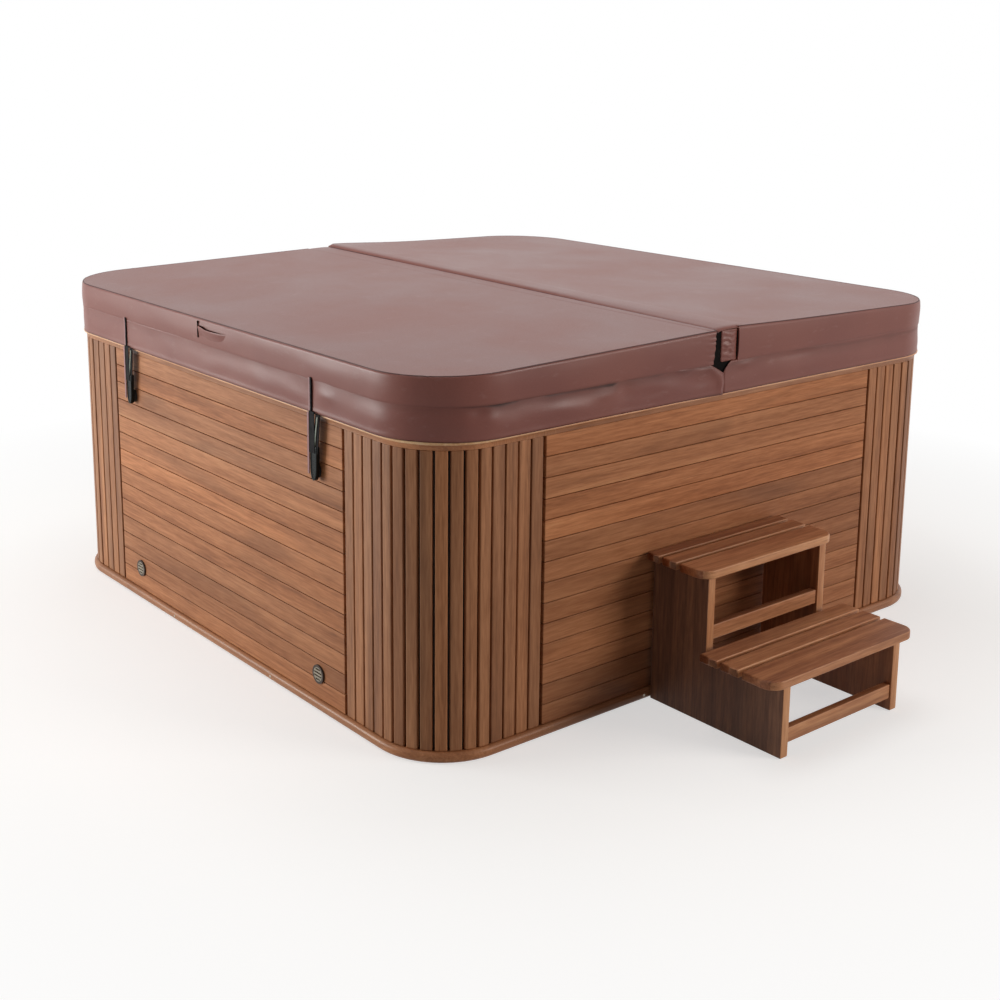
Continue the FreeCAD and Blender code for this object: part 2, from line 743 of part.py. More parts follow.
def elbow(start, bend_centre, axis, degrees):
    ring = Part.Face(
        [
            Part.Wire(Part.makeCircle(PIPE_RADIUS, start, axis.cross(start - bend_centre))),
            Part.Wire(Part.makeCircle(PIPE_RADIUS - PIPE_WALL, start, axis.cross(start - bend_centre))),
        ]
    )
    return ring.revolve(bend_centre, axis, degrees)


def tube(start, end):
    return pole(PIPE_RADIUS, start, end).cut(pole(PIPE_RADIUS - PIPE_WALL, start, end))


os.makedirs("parts", exist_ok=True)

# Cabinet
SIDES = ["front", "right", "back", "left"]
CORNERS = ["front_left", "front_right", "back_right", "back_left"]
vent_places = [Vector(-A, side * VENT_OFFSET, VENT_HEIGHT) for side in (-1, 1)]
for turn, side in enumerate(SIDES):
    boards = [spun(board, 90 * turn) for board in panel_slats()]
    if side == "left":
        reach = Vector(SLAT_THICKNESS, 0, 0)
        for place in vent_places:
            hole = pole(VENT_BARREL_RADIUS + VENT_HOLE_CLEARANCE, place, place + reach)
            boards = [board.cut(hole) if board.distToShape(hole)[0] < 0.01 else board for board in boards]
    save(side + "_slats", boards)
for turn, corner in enumerate(CORNERS):
    save("corner_slats_" + corner, [spun(board, 90 * turn) for board in corner_slats()])
save("corner_backings", [spun(corner_backing(), 90 * turn) for turn in range(4)])

battens = []
posts = []
rails = []
for turn in range(4):
    for x in (-BATTEN_OFFSET, 0.0, BATTEN_OFFSET):
        half = BATTEN_WIDTH / 2
        batten = box(x - half, x + half, -SLAT_BACK, -FRAME_FACE, SLAT_LOW, SLAT_HIGH)
        post = box(
            x - POST_WIDTH / 2, x + POST_WIDTH / 2, -FRAME_FACE, -FRAME_FACE + POST_DEPTH, SLAT_LOW, RAIL_LOW
        )
        battens.append(spun(batten, 90 * turn))
        posts.append(spun(post, 90 * turn))
    rail = box(
        -RAIL_HALF_LENGTH, RAIL_HALF_LENGTH, -FRAME_FACE, -FRAME_FACE + POST_DEPTH, RAIL_LOW, RAIL_TOP
    )
    rails.append(spun(rail, 90 * turn))
save("panel_battens", battens)
save("frame_timbers", posts + rails)

screws = []
screw_tip = A + BOTTOM_TRIM_PROUD - TRIM_SCREW_LENGTH
for turn in range(4):
    for x in (-TRIM_SCREW_OFFSET, TRIM_SCREW_OFFSET):
        start = Vector(x, -screw_tip, BOTTOM_TRIM_HEIGHT / 2)
        end = Vector(x, -A - BOTTOM_TRIM_PROUD - TRIM_SCREW_HEAD_PROUD, BOTTOM_TRIM_HEIGHT / 2)
        screws.append(spun(pole(TRIM_SCREW_RADIUS, start, end), 90 * turn))
save("trim_screws", screws)
bottom_trim = trim_pieces(0.0, BOTTOM_TRIM_HEIGHT, BOTTOM_TRIM_PROUD, BOTTOM_TRIM_ROUND, SLAT_BACK)
save("bottom_trim", [piece.cut(screws) for piece in bottom_trim])
save("top_trim", trim_pieces(SLAT_HIGH, TOP_TRIM_TOP, TOP_TRIM_PROUD, TOP_TRIM_ROUND, FRAME_FACE))

pan_half = SLAT_BACK - PAN_CLEARANCE
pan_radius = CORNER_RADIUS - SLAT_THICKNESS - PAN_CLEARANCE
pan = slab(pan_half, pan_radius, 0, SLAT_LOW)
pan = pan.cut(slab(pan_half - PAN_RIM_WIDTH, pan_radius - PAN_RIM_WIDTH, PAN_PLATE, SLAT_LOW))
save("base_pan", [pan])

vents = []
for place in vent_places:
    vent = pole(VENT_RADIUS, place, place - Vector(VENT_PROUD, 0, 0))
    vent = vent.fuse(pole(VENT_BARREL_RADIUS, place, place + Vector(SLAT_THICKNESS, 0, 0))).removeSplitter()
    front = place - Vector(VENT_PROUD, 0, 0)
    pitch = 2 * VENT_BARREL_RADIUS * 0.9 / VENT_BARS
    for bar in range(VENT_BARS):
        z = (bar - (VENT_BARS - 1) / 2) * pitch
        wide = math.sqrt((VENT_BARREL_RADIUS * 0.92) ** 2 - (abs(z) + VENT_BAR / 2) ** 2)
        low = place.z + z - VENT_BAR / 2
        slot = box(front.x, front.x + VENT_PROUD * 2, place.y - wide, place.y + wide, low, low + VENT_BAR)
        vent = vent.cut(slot)
    vents.append(vent)
save("side_vents", vents)

# Shell and its fittings
seat_jets = []
shell_holes = []
seat_jet = jet(SEAT_JET_RADIUS, SEAT_JET_BARREL)
seat_hole = jet_hole(SEAT_JET_BARREL)
for side in range(4):
    outer_places = [(way * OUTER_JET_OFFSET, z) for way in (-1, 1) for z in OUTER_JET_HEIGHTS]
    middle_places = [(way * MIDDLE_JET_OFFSET, z) for way in (-1, 1) for z in MIDDLE_JET_HEIGHTS]
    for along, z in outer_places + middle_places:
        position, direction = seat_wall(side, along, z)
        seat_jets.append(placed(seat_jet, position, direction))
        shell_holes.append(placed(seat_hole, position, direction))
save("seat_jets", seat_jets)

foot_jets = []
foot_jet = jet(FOOT_JET_RADIUS, FOOT_JET_BARREL)
foot_hole = jet_hole(FOOT_JET_BARREL)
for side in (0, 2):
    for along in (-FOOT_JET_OFFSET, FOOT_JET_OFFSET):
        position, direction = foot_wall(side, along, FOOT_JET_HEIGHT)
        foot_jets.append(placed(foot_jet, position, direction))
        shell_holes.append(placed(foot_hole, position, direction))
save("foot_jets", foot_jets)

covers = []
cover_hole = jet_hole(SUCTION_BARREL)
for side in (1, 3):
    position, direction = foot_wall(side, 0.0, PUMP_HEIGHT)
    covers.append(placed(suction_cover(), position, direction))
    shell_holes.append(placed(cover_hole, position, direction))
save("suction_covers", covers)

filter_axis = Vector(-FILTER_OFFSET, FILTER_OFFSET, 0)
deck_low = DECK_HEIGHT - SHELL_WALL
lid_hole = Part.makeCylinder(LID_PLUG_RADIUS + LID_CLEARANCE, 3 * SHELL_WALL)
lid_hole.translate(filter_axis + Vector(0, 0, deck_low - SHELL_WALL))
shell_holes.append(lid_hole)
knob_places = [Vector(KNOB_OFFSET, -(RECESS_HALF + WELL_TOP_HALF) / 2, 0)]
knob_places.append(Vector(-KNOB_OFFSET, -(RECESS_HALF + WELL_TOP_HALF) / 2, 0))
for place in knob_places:
    hole = Part.makeCylinder(SPINDLE_RADIUS + SPINDLE_CLEARANCE, 3 * SHELL_WALL)
    hole.translate(place + Vector(0, 0, deck_low - SHELL_WALL))
    shell_holes.append(hole)

lip = slab(LIP_HALF, LIP_RADIUS, RIM_HEIGHT - LIP_DROP, RIM_HEIGHT)
lip = lip.makeFillet(LIP_EDGE_ROUND, edges_at(lip, RIM_HEIGHT))
lip_inner = LIP_HALF - SHELL_WALL
lip = lip.cut(slab(lip_inner, LIP_RADIUS - SHELL_WALL, RIM_HEIGHT - LIP_DROP, RIM_HEIGHT - SHELL_WALL))
outside = bowl(SHELL_WALL)
outside = outside.common(box(-A, A, -A, A, 0, RIM_HEIGHT - SHELL_WALL / 2))
shell = lip.fuse(outside).cut(bowl(0.0)).cut(shell_holes)
levels = [0.0, SEAT_HEIGHT - BUCKET_DEPTH - SHELL_WALL - SECTION_LAP, SEAT_HEIGHT + SEAT_ROUND]
levels += [TOP_TRIM_TOP - SECTION_LAP, RIM_HEIGHT]
sections = []
for low, high in zip(levels, levels[1:]):
    for turn in range(4):
        sections.append(shell.common(spun(box(0, A, 0, A, low, high), 90 * turn)))
save("shell", sections)

housing = Part.makeCylinder(FILTER_RADIUS, deck_low - FILTER_BOTTOM, Vector(0, 0, FILTER_BOTTOM))
inside_low = FILTER_BOTTOM + FILTER_WALL
housing = housing.cut(
    Part.makeCylinder(FILTER_RADIUS - FILTER_WALL, deck_low - inside_low, Vector(0, 0, inside_low))
)
housing.translate(filter_axis)
save("filter_housing", [housing])
cartridge_top = deck_low - LID_PLUG_DEPTH - CARTRIDGE_TOP_GAP
cartridge = Part.makeCylinder(CARTRIDGE_RADIUS, cartridge_top - inside_low, Vector(0, 0, inside_low))
cartridge = cartridge.cut(Part.makeCylinder(CARTRIDGE_BORE, cartridge_top, Vector(0, 0, 0)))
cartridge.translate(filter_axis)
save("filter_cartridge", [cartridge])
lid_low = DECK_HEIGHT + KNOB_SEAT_GAP
lid = Part.makeCylinder(LID_RADIUS, LID_THICKNESS, Vector(0, 0, lid_low))
lid = lid.makeFillet(LID_THICKNESS * 0.4, edges_at(lid, lid_low + LID_THICKNESS))
lid = lid.fuse(Part.makeCylinder(LID_PLUG_RADIUS, LID_PLUG_DEPTH, Vector(0, 0, lid_low - LID_PLUG_DEPTH)))
grip = box(
    -LID_GRIP_LENGTH / 2,
    LID_GRIP_LENGTH / 2,
    -LID_GRIP_WIDTH / 2,
    LID_GRIP_WIDTH / 2,
    lid_low + LID_THICKNESS,
    lid_low + LID_THICKNESS + LID_GRIP_HEIGHT,
)
lid = lid.fuse(grip).removeSplitter()
lid.translate(filter_axis)
save("filter_lid", [lid])

knob_radii = [DIVERTER_RADIUS, AIR_KNOB_RADIUS]
for name, radius, place in zip(["diverter_knob", "air_knob"], knob_radii, knob_places):
    turned = knob(radius)
    turned.translate(place)
    save(name, [turned])

panel_x = -(RECESS_HALF + WELL_TOP_HALF) / 2
panel_top = DECK_HEIGHT + PANEL_THICKNESS
panel = box(
    panel_x - PANEL_WIDTH / 2,
    panel_x + PANEL_WIDTH / 2,
    -PANEL_LENGTH / 2,
    PANEL_LENGTH / 2,
    DECK_HEIGHT,
    panel_top,
)
panel = panel.makeFillet(PANEL_ROUND, [e for e in panel.Edges if e.BoundBox.ZLength > PANEL_THICKNESS / 2])
button_low = panel_top - BUTTON_POCKET + BUTTON_TRAVEL
for place, name in enumerate(["jets", "light", "heat"]):
    y = (place - 1) * BUTTON_PITCH
    pocket = Part.makeCylinder(
        BUTTON_RADIUS + BUTTON_CLEARANCE, BUTTON_POCKET, Vector(panel_x, y, panel_top - BUTTON_POCKET)
    )
    panel = panel.cut(pocket)
    button = Part.makeCylinder(BUTTON_RADIUS, BUTTON_HEIGHT, Vector(panel_x, y, button_low))
    button = button.makeFillet(BUTTON_TRAVEL, edges_at(button, button_low + BUTTON_HEIGHT))
    save("button_" + name, [button])
save("control_panel", [panel])

# Equipment behind the left panel
axis_start = Vector(MOTOR_START, 0, PUMP_HEIGHT)
axis_end = Vector(MOTOR_END, 0, PUMP_HEIGHT)
motor = pole(MOTOR_RADIUS, axis_start, axis_end)
foot_x = (MOTOR_START + MOTOR_END) / 2
foot = box(
    foot_x - MOTOR_FOOT_LENGTH / 2,
    foot_x + MOTOR_FOOT_LENGTH / 2,
    -MOTOR_FOOT_WIDTH / 2,
    MOTOR_FOOT_WIDTH / 2,
    PAN_PLATE,
    PUMP_HEIGHT,
)
save("pump_motor", [motor.fuse(foot).removeSplitter()])
wet_end = MOTOR_END + WET_END_LENGTH
wet = pole(WET_END_RADIUS, axis_end, Vector(wet_end, 0, PUMP_HEIGHT))
port_end = Vector(wet_end + PORT_LENGTH, 0, PUMP_HEIGHT)
wet = wet.fuse(pole(PORT_RADIUS, Vector(wet_end, 0, PUMP_HEIGHT), port_end))
riser_x = MOTOR_END + WET_END_LENGTH / 2
riser_low = Vector(riser_x, 0, PUMP_HEIGHT)
riser_top = Vector(riser_x, 0, PUMP_HEIGHT + WET_END_RADIUS + PORT_LENGTH / 2)
save("pump_wet_end", [wet.fuse(pole(PORT_RADIUS, riser_low, riser_top)).removeSplitter()])

foot_wall_x = foot_wall(1, 0.0, PUMP_HEIGHT)[0].x
suction_pipe = tube(port_end, Vector(-abs(foot_wall_x) - SUCTION_PIPE_GAP, 0, PUMP_HEIGHT))
bend_low = Vector(riser_x, 0, HEATER_HEIGHT - PIPE_BEND)
bend_end = Vector(riser_x, PIPE_BEND, HEATER_HEIGHT)
bend = elbow(bend_low, Vector(riser_x, PIPE_BEND, HEATER_HEIGHT - PIPE_BEND), Vector(-1, 0, 0), 90)
feed = tube(bend_end, Vector(riser_x, HEATER_START, HEATER_HEIGHT))
pressure_pipe = tube(riser_top, bend_low).fuse([bend, feed])
heater_end = HEATER_START + HEATER_LENGTH
return_start = Vector(riser_x, heater_end, HEATER_HEIGHT)
return_bend = Vector(riser_x, RETURN_BEND_START, HEATER_HEIGHT)
rise = elbow(return_bend, return_bend + Vector(0, 0, RETURN_BEND), Vector(1, 0, 0), 90)
return_pipe = tube(return_start, return_bend).fuse(rise)
save("pipework", [suction_pipe, pressure_pipe.removeSplitter(), return_pipe.removeSplitter()])
heater = pole(HEATER_RADIUS, Vector(riser_x, HEATER_START, HEATER_HEIGHT), return_start)
for y in (HEATER_START, heater_end - HEATER_FLANGE_WIDTH):
    near = Vector(riser_x, y, HEATER_HEIGHT)
    heater = heater.fuse(pole(HEATER_RADIUS + HEATER_FLANGE, near, near + Vector(0, HEATER_FLANGE_WIDTH, 0)))
save("heater", [heater.removeSplitter()])
control_box = box(BOX_X, BOX_X + BOX_DEPTH, BOX_Y, BOX_Y + BOX_LENGTH, PAN_PLATE, PAN_PLATE + BOX_HEIGHT)
save("control_box", [control_box.makeFillet(BOX_ROUND, edges_at(control_box, PAN_PLATE + BOX_HEIGHT))])

# Cover halves, straps and handles
for name, face, turn in zip(["right", "left"], [RIGHT_FACE, LEFT_FACE], [False, True]):
    stiffener = channel(face)
    foam = cover_block(face, JACKET + CORE_CLEARANCE).cut(stiffener)
    pieces = {"foam": foam, "channel": stiffener}
    pieces["jacket"] = cover_jacket(face)
    pieces["skirt"] = skirt(-SKIRT_SPLIT if turn else SKIRT_SPLIT)
    pieces["handle"] = handle()
    for piece, shape in pieces.items():
        save("cover_" + name + "_" + piece, [mirrored(shape) if turn else shape])
save("hinge_seal", [hinge_seal()])

bases = []
for side in ("right", "left"):
    for end, along in zip(["front", "back"], [-STRAP_OFFSET, STRAP_OFFSET]):
        shapes = [beside(shape, along) for shape in (strap(), tongue(), buckle_base())]
        if side == "left":
            shapes = [mirrored(shape) for shape in shapes]
        save("strap_" + side + "_" + end, [shapes[0]])
        save("tongue_" + side + "_" + end, [shapes[1]])
        bases.append(shapes[2])
save("buckle_bases", bases)

# Steps
left = STEP_CENTRE - STEP_WIDTH / 2
right = STEP_CENTRE + STEP_WIDTH / 2 - STEP_SIDE
lower_boards = tread(STEP_FRONT + LOWER_NOSE, LOWER_TREAD_TOP, LOWER_TREAD_LENGTH, LOWER_BOARDS)
upper_boards = tread(STEP_RISER + UPPER_NOSE, UPPER_TREAD_TOP, UPPER_TREAD_LENGTH, UPPER_BOARDS)
rail_boards = []
for front, low in [(STEP_RISER, UPPER_RAIL_BOTTOM), (STEP_FRONT, LOWER_RAIL_BOTTOM)]:
    y = -front + STEP_RAIL_INSET
    rail_boards.append(
        box(left + STEP_SIDE, right, y, y + STEP_RAIL_THICKNESS, low, low + STEP_RAIL_HEIGHT)
    )
dowels = []
for board in lower_boards + upper_boards:
    low = board.BoundBox.ZMin
    y = board.BoundBox.Center.y
    for x in (left + STEP_SIDE / 2, right + STEP_SIDE / 2):
        dowels.append(pole(DOWEL_RADIUS, Vector(x, y, low - DOWEL_DEPTH), Vector(x, y, low + DOWEL_DEPTH)))
for board in rail_boards:
    y = board.BoundBox.Center.y
    z = board.BoundBox.Center.z
    for x in (left + STEP_SIDE, right):
        dowels.append(pole(DOWEL_RADIUS, Vector(x - DOWEL_DEPTH, y, z), Vector(x + DOWEL_DEPTH, y, z)))
save("step_left_side", [step_side(left).cut(dowels)])
save("step_right_side", [step_side(right).cut(dowels)])
save("step_lower_tread", [board.cut(dowels) for board in lower_boards])
save("step_upper_tread", [board.cut(dowels) for board in upper_boards])
save("step_rails", [board.cut(dowels) for board in rail_boards])
save("step_dowels", dowels)
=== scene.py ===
import random
from functools import cached_property
from math import atan2, copysign, cos, exp, pi, radians, sin, sqrt, tan

import bmesh
import bpy
from bmesh import ops
from bmesh.types import BMEdge, BMFace, BMVert
from mathutils import Matrix, Vector, noise


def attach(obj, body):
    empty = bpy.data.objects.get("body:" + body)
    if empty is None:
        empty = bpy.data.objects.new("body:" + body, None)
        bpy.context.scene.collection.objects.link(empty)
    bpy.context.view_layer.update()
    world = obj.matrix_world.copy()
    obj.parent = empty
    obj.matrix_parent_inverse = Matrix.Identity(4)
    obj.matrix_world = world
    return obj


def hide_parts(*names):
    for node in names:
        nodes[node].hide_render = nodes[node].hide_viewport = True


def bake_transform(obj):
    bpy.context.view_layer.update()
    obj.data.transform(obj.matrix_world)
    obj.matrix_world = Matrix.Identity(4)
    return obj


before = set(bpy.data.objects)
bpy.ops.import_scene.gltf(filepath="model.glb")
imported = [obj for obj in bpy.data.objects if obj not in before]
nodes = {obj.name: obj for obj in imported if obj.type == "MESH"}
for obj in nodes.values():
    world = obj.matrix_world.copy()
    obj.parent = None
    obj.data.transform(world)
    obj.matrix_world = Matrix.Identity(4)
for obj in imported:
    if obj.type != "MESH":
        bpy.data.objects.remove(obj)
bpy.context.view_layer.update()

# Sizes in metres. CABINET and COVER are half widths, and the front faces -y.
CABINET = 1.045
CORNER = 0.2
SEAM = 0.675
SLAT_LOW = 0.03
SLAT_HIGH = 0.83
SLAT_STOCK = 0.016
SLAT_ROWS = 14
SLAT_HALF = 0.668
SLAT_GAP = 0.0018
SLAT_EASE = 0.0019
STAVES_FLAT = 4
STAVES_BEND = 8
STAVE_GAP = 0.005
BEND_GAP = 0.0044
STAVE_EASE = 0.003
COVER = 1.06
COVER_CORNER = 0.235
COVER_FLAT = COVER - COVER_CORNER
COVER_LOW = 0.9403
COVER_EDGE = 1.017
COVER_RIDGE = 1.038
SKIRT_LOW = 0.852
LEFT_FACE = 0.057
RIGHT_FACE = 0.0365
CREASE_FRONT = -0.05
CREASE_BACK = 0.035
STRIP_LEFT = 0.078
STRIP_RIGHT = 0.09
SKIRT_SPLIT = -0.022
NOTCH_HEIGHT = 0.0317
NOTCH_REACH = {-1: 0.055, 1: 0.0288}
QUARTER = radians(90)
WHITE = (1.0, 1.0, 1.0, 1.0)


class Signal:
    """A socket that adds Math nodes when it is used in an expression."""

    def __init__(self, finish, socket):
        self.finish = finish
        self.socket = socket

    def reckon(self, operation, other):
        return self.finish.node("ShaderNodeMath", {0: self, 1: other}, operation=operation)

    def __add__(self, other):
        return self.reckon("ADD", other)

    def __sub__(self, other):
        return self.reckon("SUBTRACT", other)

    def __mul__(self, other):
        return self.reckon("MULTIPLY", other)


class Finish:
    """The nodes of a material or a world, added one by one."""

    def __init__(self, name, store=bpy.data.materials):
        self.owner = store.new(name)
        self.owner.use_nodes = True
        self.tree = self.owner.node_tree
        self.tree.nodes.clear()

    def node(self, kind, inputs=None, output=0, **settings):
        node = self.tree.nodes.new(kind)
        for key, value in settings.items():
            if key == "stops":
                while len(node.color_ramp.elements) < len(value):
                    node.color_ramp.elements.new(0.5)
                for element, (place, colour) in zip(node.color_ramp.elements, value):
                    element.position = place
                    element.color = colour
            else:
                setattr(node, key, value)
        for key, value in (inputs or {}).items():
            if isinstance(value, Signal):
                self.tree.links.new(value.socket, node.inputs[key])
            else:
                node.inputs[key].default_value = value
        return Signal(self, node.outputs[output]) if node.outputs else None

    @cached_property
    def place(self):
        return self.node("ShaderNodeTexCoord", output="Object")

    def attribute(self, name, output):
        return self.node("ShaderNodeAttribute", output=output, attribute_name=name)

    def stretched(self, place, scale):
        return self.node("ShaderNodeMapping", {"Vector": place, "Scale": scale})

    def noise(self, scale, detail=3.0, roughness=0.55, distortion=0.0, place=None):
        shape = dict(Scale=scale, Detail=detail, Roughness=roughness, Distortion=distortion)
        return self.node("ShaderNodeTexNoise", {"Vector": place or self.place, **shape}, "Fac")

    def ramp(self, signal, stops):
        return self.node("ShaderNodeValToRGB", {"Fac": signal}, "Color", stops=stops)

    def band(self, signal, low, high, start=0.0, end=1.0):
        inputs = {"Value": signal, "From Min": low, "From Max": high, "To Min": start, "To Max": end}
        return self.node("ShaderNodeMapRange", inputs, "Result", clamp=True)

    def mix(self, share, first, second, blend="MIX"):
        return self.node("ShaderNodeMix", {0: share, 6: first, 7: second}, 2, data_type="RGBA", blend_type=blend,
                         clamp_factor=True)

    def bump(self, height, strength, distance):
        return self.node("ShaderNodeBump", dict(Height=height, Strength=strength, Distance=distance), "Normal")

    def surface(self, colour, rough, normal=None, shine=0.5, **others):
        inputs = {"Base Color": colour, "Roughness": rough, "Specular IOR Level": shine}
        if normal:
            inputs["Normal"] = normal
        inputs.update((key.replace("_", " "), value) for key, value in others.items())
        self.node("ShaderNodeOutputMaterial", {"Surface": self.node("ShaderNodeBsdfPrincipled", inputs)})
        return self.owner

    def in_sight(self):
        """One for rays from the camera, off a gloss or through glass, which see the backdrop white."""
        camera, glossy, through = [self.node("ShaderNodeLightPath", output=kind)
                                   for kind in ("Is Camera Ray", "Is Glossy Ray", "Is Transmission Ray")]
        return self.band(camera + glossy + through, 0.0, 1.0)


def paint(red, green, blue):
    """Linear colour from a screen colour of 0 to 255."""
    linear = [((c / 255 + 0.055) / 1.055) ** 2.4 if c > 10 else c / 255 / 12.92 for c in (red, green, blue)]
    return (*linear, 1.0)


def dimmed(colour, share):
    return (*(share * c for c in colour[:3]), 1.0)


# Finishes. Colours come in as screen colours.

TONE_STOPS = [(0.0, (0.3, 0.27, 0.26, 1.0)), (0.5, (0.5, 0.5, 0.5, 1.0)), (1.0, (0.74, 0.69, 0.62, 1.0))]


def sawn_wood(name, tones, patch, gloss=0.5, by_board=True, shine=0.3):
    """Oiled timber with streaks, flecks and pores along the grain, and a tone of its own for each board."""
    f = Finish(name)
    patch = paint(*patch)
    if by_board:
        place = f.attribute("grain", "Vector")
        tone = f.attribute("tone", "Fac")
    else:
        place = f.place
        tone = f.noise(1.7, 1.0)

    def grain(along, across, *shape):
        return f.noise(1.0, *shape, place=f.stretched(place, (along, across, across)))

    streaks = grain(1.3, 34.0, 4.0, 0.62, 0.6)
    rings = grain(0.55, 11.0, 2.0, 0.5, 1.2)
    pores = grain(9.0, 420.0, 2.0, 0.6)
    flecks = grain(14.0, 150.0, 2.0, 0.6)
    heart = grain(1.1, 7.0, 2.0, 0.55, 0.8)
    figure = streaks * 0.42 + rings * 0.3 + flecks * 0.28
    colour = f.ramp(figure, [(level, paint(*screen)) for level, *screen in tones])
    colour = f.mix(f.band(heart, 0.56, 0.74) * 0.55, colour, patch)
    colour = f.mix(0.55, colour, f.ramp(f.band(tone, -1.6, 1.6), TONE_STOPS), "OVERLAY")
    colour = f.mix(f.band(pores, 0.3, 0.44, 1.0, 0.0) * 0.3, colour, patch)
    rough = f.band(figure, 0.3, 0.7, gloss + 0.08, gloss - 0.06)
    normal = f.bump(streaks * 0.55 + pores * 0.45, 0.35, 0.0006)
    return f.surface(colour, rough, normal, shine)


def cover_vinyl(name, colour, light, gloss=0.32, shine=0.3):
    """Backed vinyl with a fine leather grain, faint handling marks, and painted shade in its creases from a vertex
    attribute.
    """
    f = Finish(name)
    colour = paint(*colour)
    cloud = f.noise(2.6, 3.0, 0.55, 0.4)
    scuffs = f.noise(3.0, 4.0, 0.6, place=f.stretched(f.place, (5.0, 5.0, 14.0)))
    cells = f.node("ShaderNodeTexVoronoi", dict(Vector=f.place, Scale=620.0), "Distance", feature="F1")
    fibre = f.noise(900.0, 2.0)
    pit = f.band(cells, 0.25, 0.75)
    # Vertex attribute that darkens and roughens the vinyl: painted shade in creases and puckers, and a darker hem
    soil = f.attribute("soil", "Fac")
    tint = f.mix(f.band(cloud, 0.3, 0.72), colour, paint(*light))
    tint = f.mix(f.band(scuffs, 0.6, 0.8) * 0.16, tint, paint(190, 160, 152))
    tint = f.mix(pit * 0.2, tint, dimmed(colour, 0.55))
    tint = f.mix(soil, tint, dimmed(colour, 0.16))
    rough = f.band(cloud, 0.25, 0.75, gloss - 0.05, gloss + 0.07) + pit * 0.08 + soil * 0.3
    normal = f.bump(cells * -0.7 + fibre * 0.3, 0.16, 0.0004)
    return f.surface(tint, rough, normal, shine)


def moulded_plastic(name, colour, worn, gloss, grain=340.0, shine=0.5):
    f = Finish(name)
    speck = f.noise(grain, 2.0)
    cloud = f.noise(14.0, 3.0)
    tint = f.mix(f.band(cloud, 0.35, 0.75) * 0.5, paint(*colour), paint(*worn))
    rough = f.band(speck, 0.3, 0.7, gloss - 0.06, gloss + 0.08)
    normal = f.bump(speck, 0.12, 0.0003)
    return f.surface(tint, rough, normal, shine)


def louvre_plastic():
    """Vent plastic, dark on the outer ring, near black between the bars as painted shade, and pale on the bars."""
    vent_y, vent_z, ring_inner, ring_outer = 0.54, 0.104, 0.0195, 0.021
    f = Finish("vent_plastic")
    depth, along, height = [f.node("ShaderNodeSeparateXYZ", {"Vector": f.place}, axis) for axis in "XYZ"]
    aside = f.node("ShaderNodeMath", {0: along}, operation="ABSOLUTE") - vent_y
    above = height - vent_z
    ring = f.band(aside * aside + above * above, ring_inner ** 2, ring_outer ** 2)
    speck = f.noise(320.0, 2.0)
    dust = f.noise(60.0, 3.0)
    # Painted shade: the colour turns from pale to near black across the vent's depth
    shade_by_depth = f.mix(f.band(depth, -1.0455, -1.0485), paint(14, 10, 8), paint(156, 146, 130))
    colour = f.mix(ring, shade_by_depth, paint(50, 36, 28))
    colour = f.mix(f.band(dust, 0.45, 0.75) * 0.25, colour, paint(112, 92, 74))
    rough = f.band(speck, 0.3, 0.7, 0.4, 0.55)
    normal = f.bump(speck, 0.12, 0.0003)
    return f.surface(colour, rough, normal, 0.3)


def bare_metal(name, colour, tarnish, gloss, brushed):
    f = Finish(name)
    lines = f.noise(1.0, 2.0, 0.6, place=f.stretched(f.place, brushed))
    cloud = f.noise(22.0, 3.0)
    tint = f.mix(f.band(cloud, 0.4, 0.8) * 0.6, paint(*colour), paint(*tarnish))
    rough = f.band(lines, 0.3, 0.7, gloss - 0.05, gloss + 0.09)
    return f.surface(tint, rough, f.bump(lines, 0.06, 0.0002), Metallic=1.0)


def marbled_acrylic():
    f = Finish("pearl_acrylic")
    flow = f.noise(3.2, 6.0, 0.62, 2.6)
    veins = f.noise(7.0, 4.0, 0.6, 3.4)
    fleck = f.noise(160.0, 2.0)
    colour = f.ramp(flow, [(0.3, paint(186, 196, 204)), (0.5, paint(226, 230, 232)), (0.7, paint(243, 243, 241))])
    colour = f.mix(f.band(veins, 0.5, 0.62) * 0.35, colour, paint(158, 174, 188))
    colour = f.mix(f.band(fleck, 0.62, 0.74) * 0.25, colour, WHITE)
    rough = f.band(fleck, 0.3, 0.7, 0.1, 0.18)
    return f.surface(colour, rough, Coat_Weight=0.5, Coat_Roughness=0.06)


def woven_tape(name, colour, light):
    """Narrow webbing with a rib across and edges that catch the light."""
    f = Finish(name)
    colour, light = paint(*colour), paint(*light)

    def wave(direction, scale, distortion):
        return f.node("ShaderNodeTexWave", dict(Vector=f.place, Scale=scale, Distortion=distortion), "Fac",
                      wave_type="BANDS", bands_direction=direction)

    ribs = wave("Z", 260.0, 0.6)
    twill = wave("DIAGONAL", 190.0, 0.4)
    cloud = f.noise(60.0, 2.0)
    tint = f.mix(ribs * 0.4 + twill * 0.25, colour, light)
    tint = f.mix(f.band(cloud, 0.45, 0.7) * 0.25, tint, light)
    rough = f.band(cloud, 0.3, 0.7, 0.6, 0.78)
    normal = f.bump(ribs * 0.6 + twill * 0.4, 0.5, 0.0006)
    return f.surface(tint, rough, normal, 0.12)


def filter_fleece():
    f = Finish("pleated_fleece")
    fibres = f.noise(420.0, 4.0, 0.7)
    stain = f.noise(9.0, 3.0)
    colour = f.mix(f.band(stain, 0.4, 0.8), paint(222, 224, 220), paint(196, 194, 180))
    rough = f.band(fibres, 0.3, 0.7, 0.8, 0.95)
    return f.surface(colour, rough, f.bump(fibres, 0.6, 0.001))


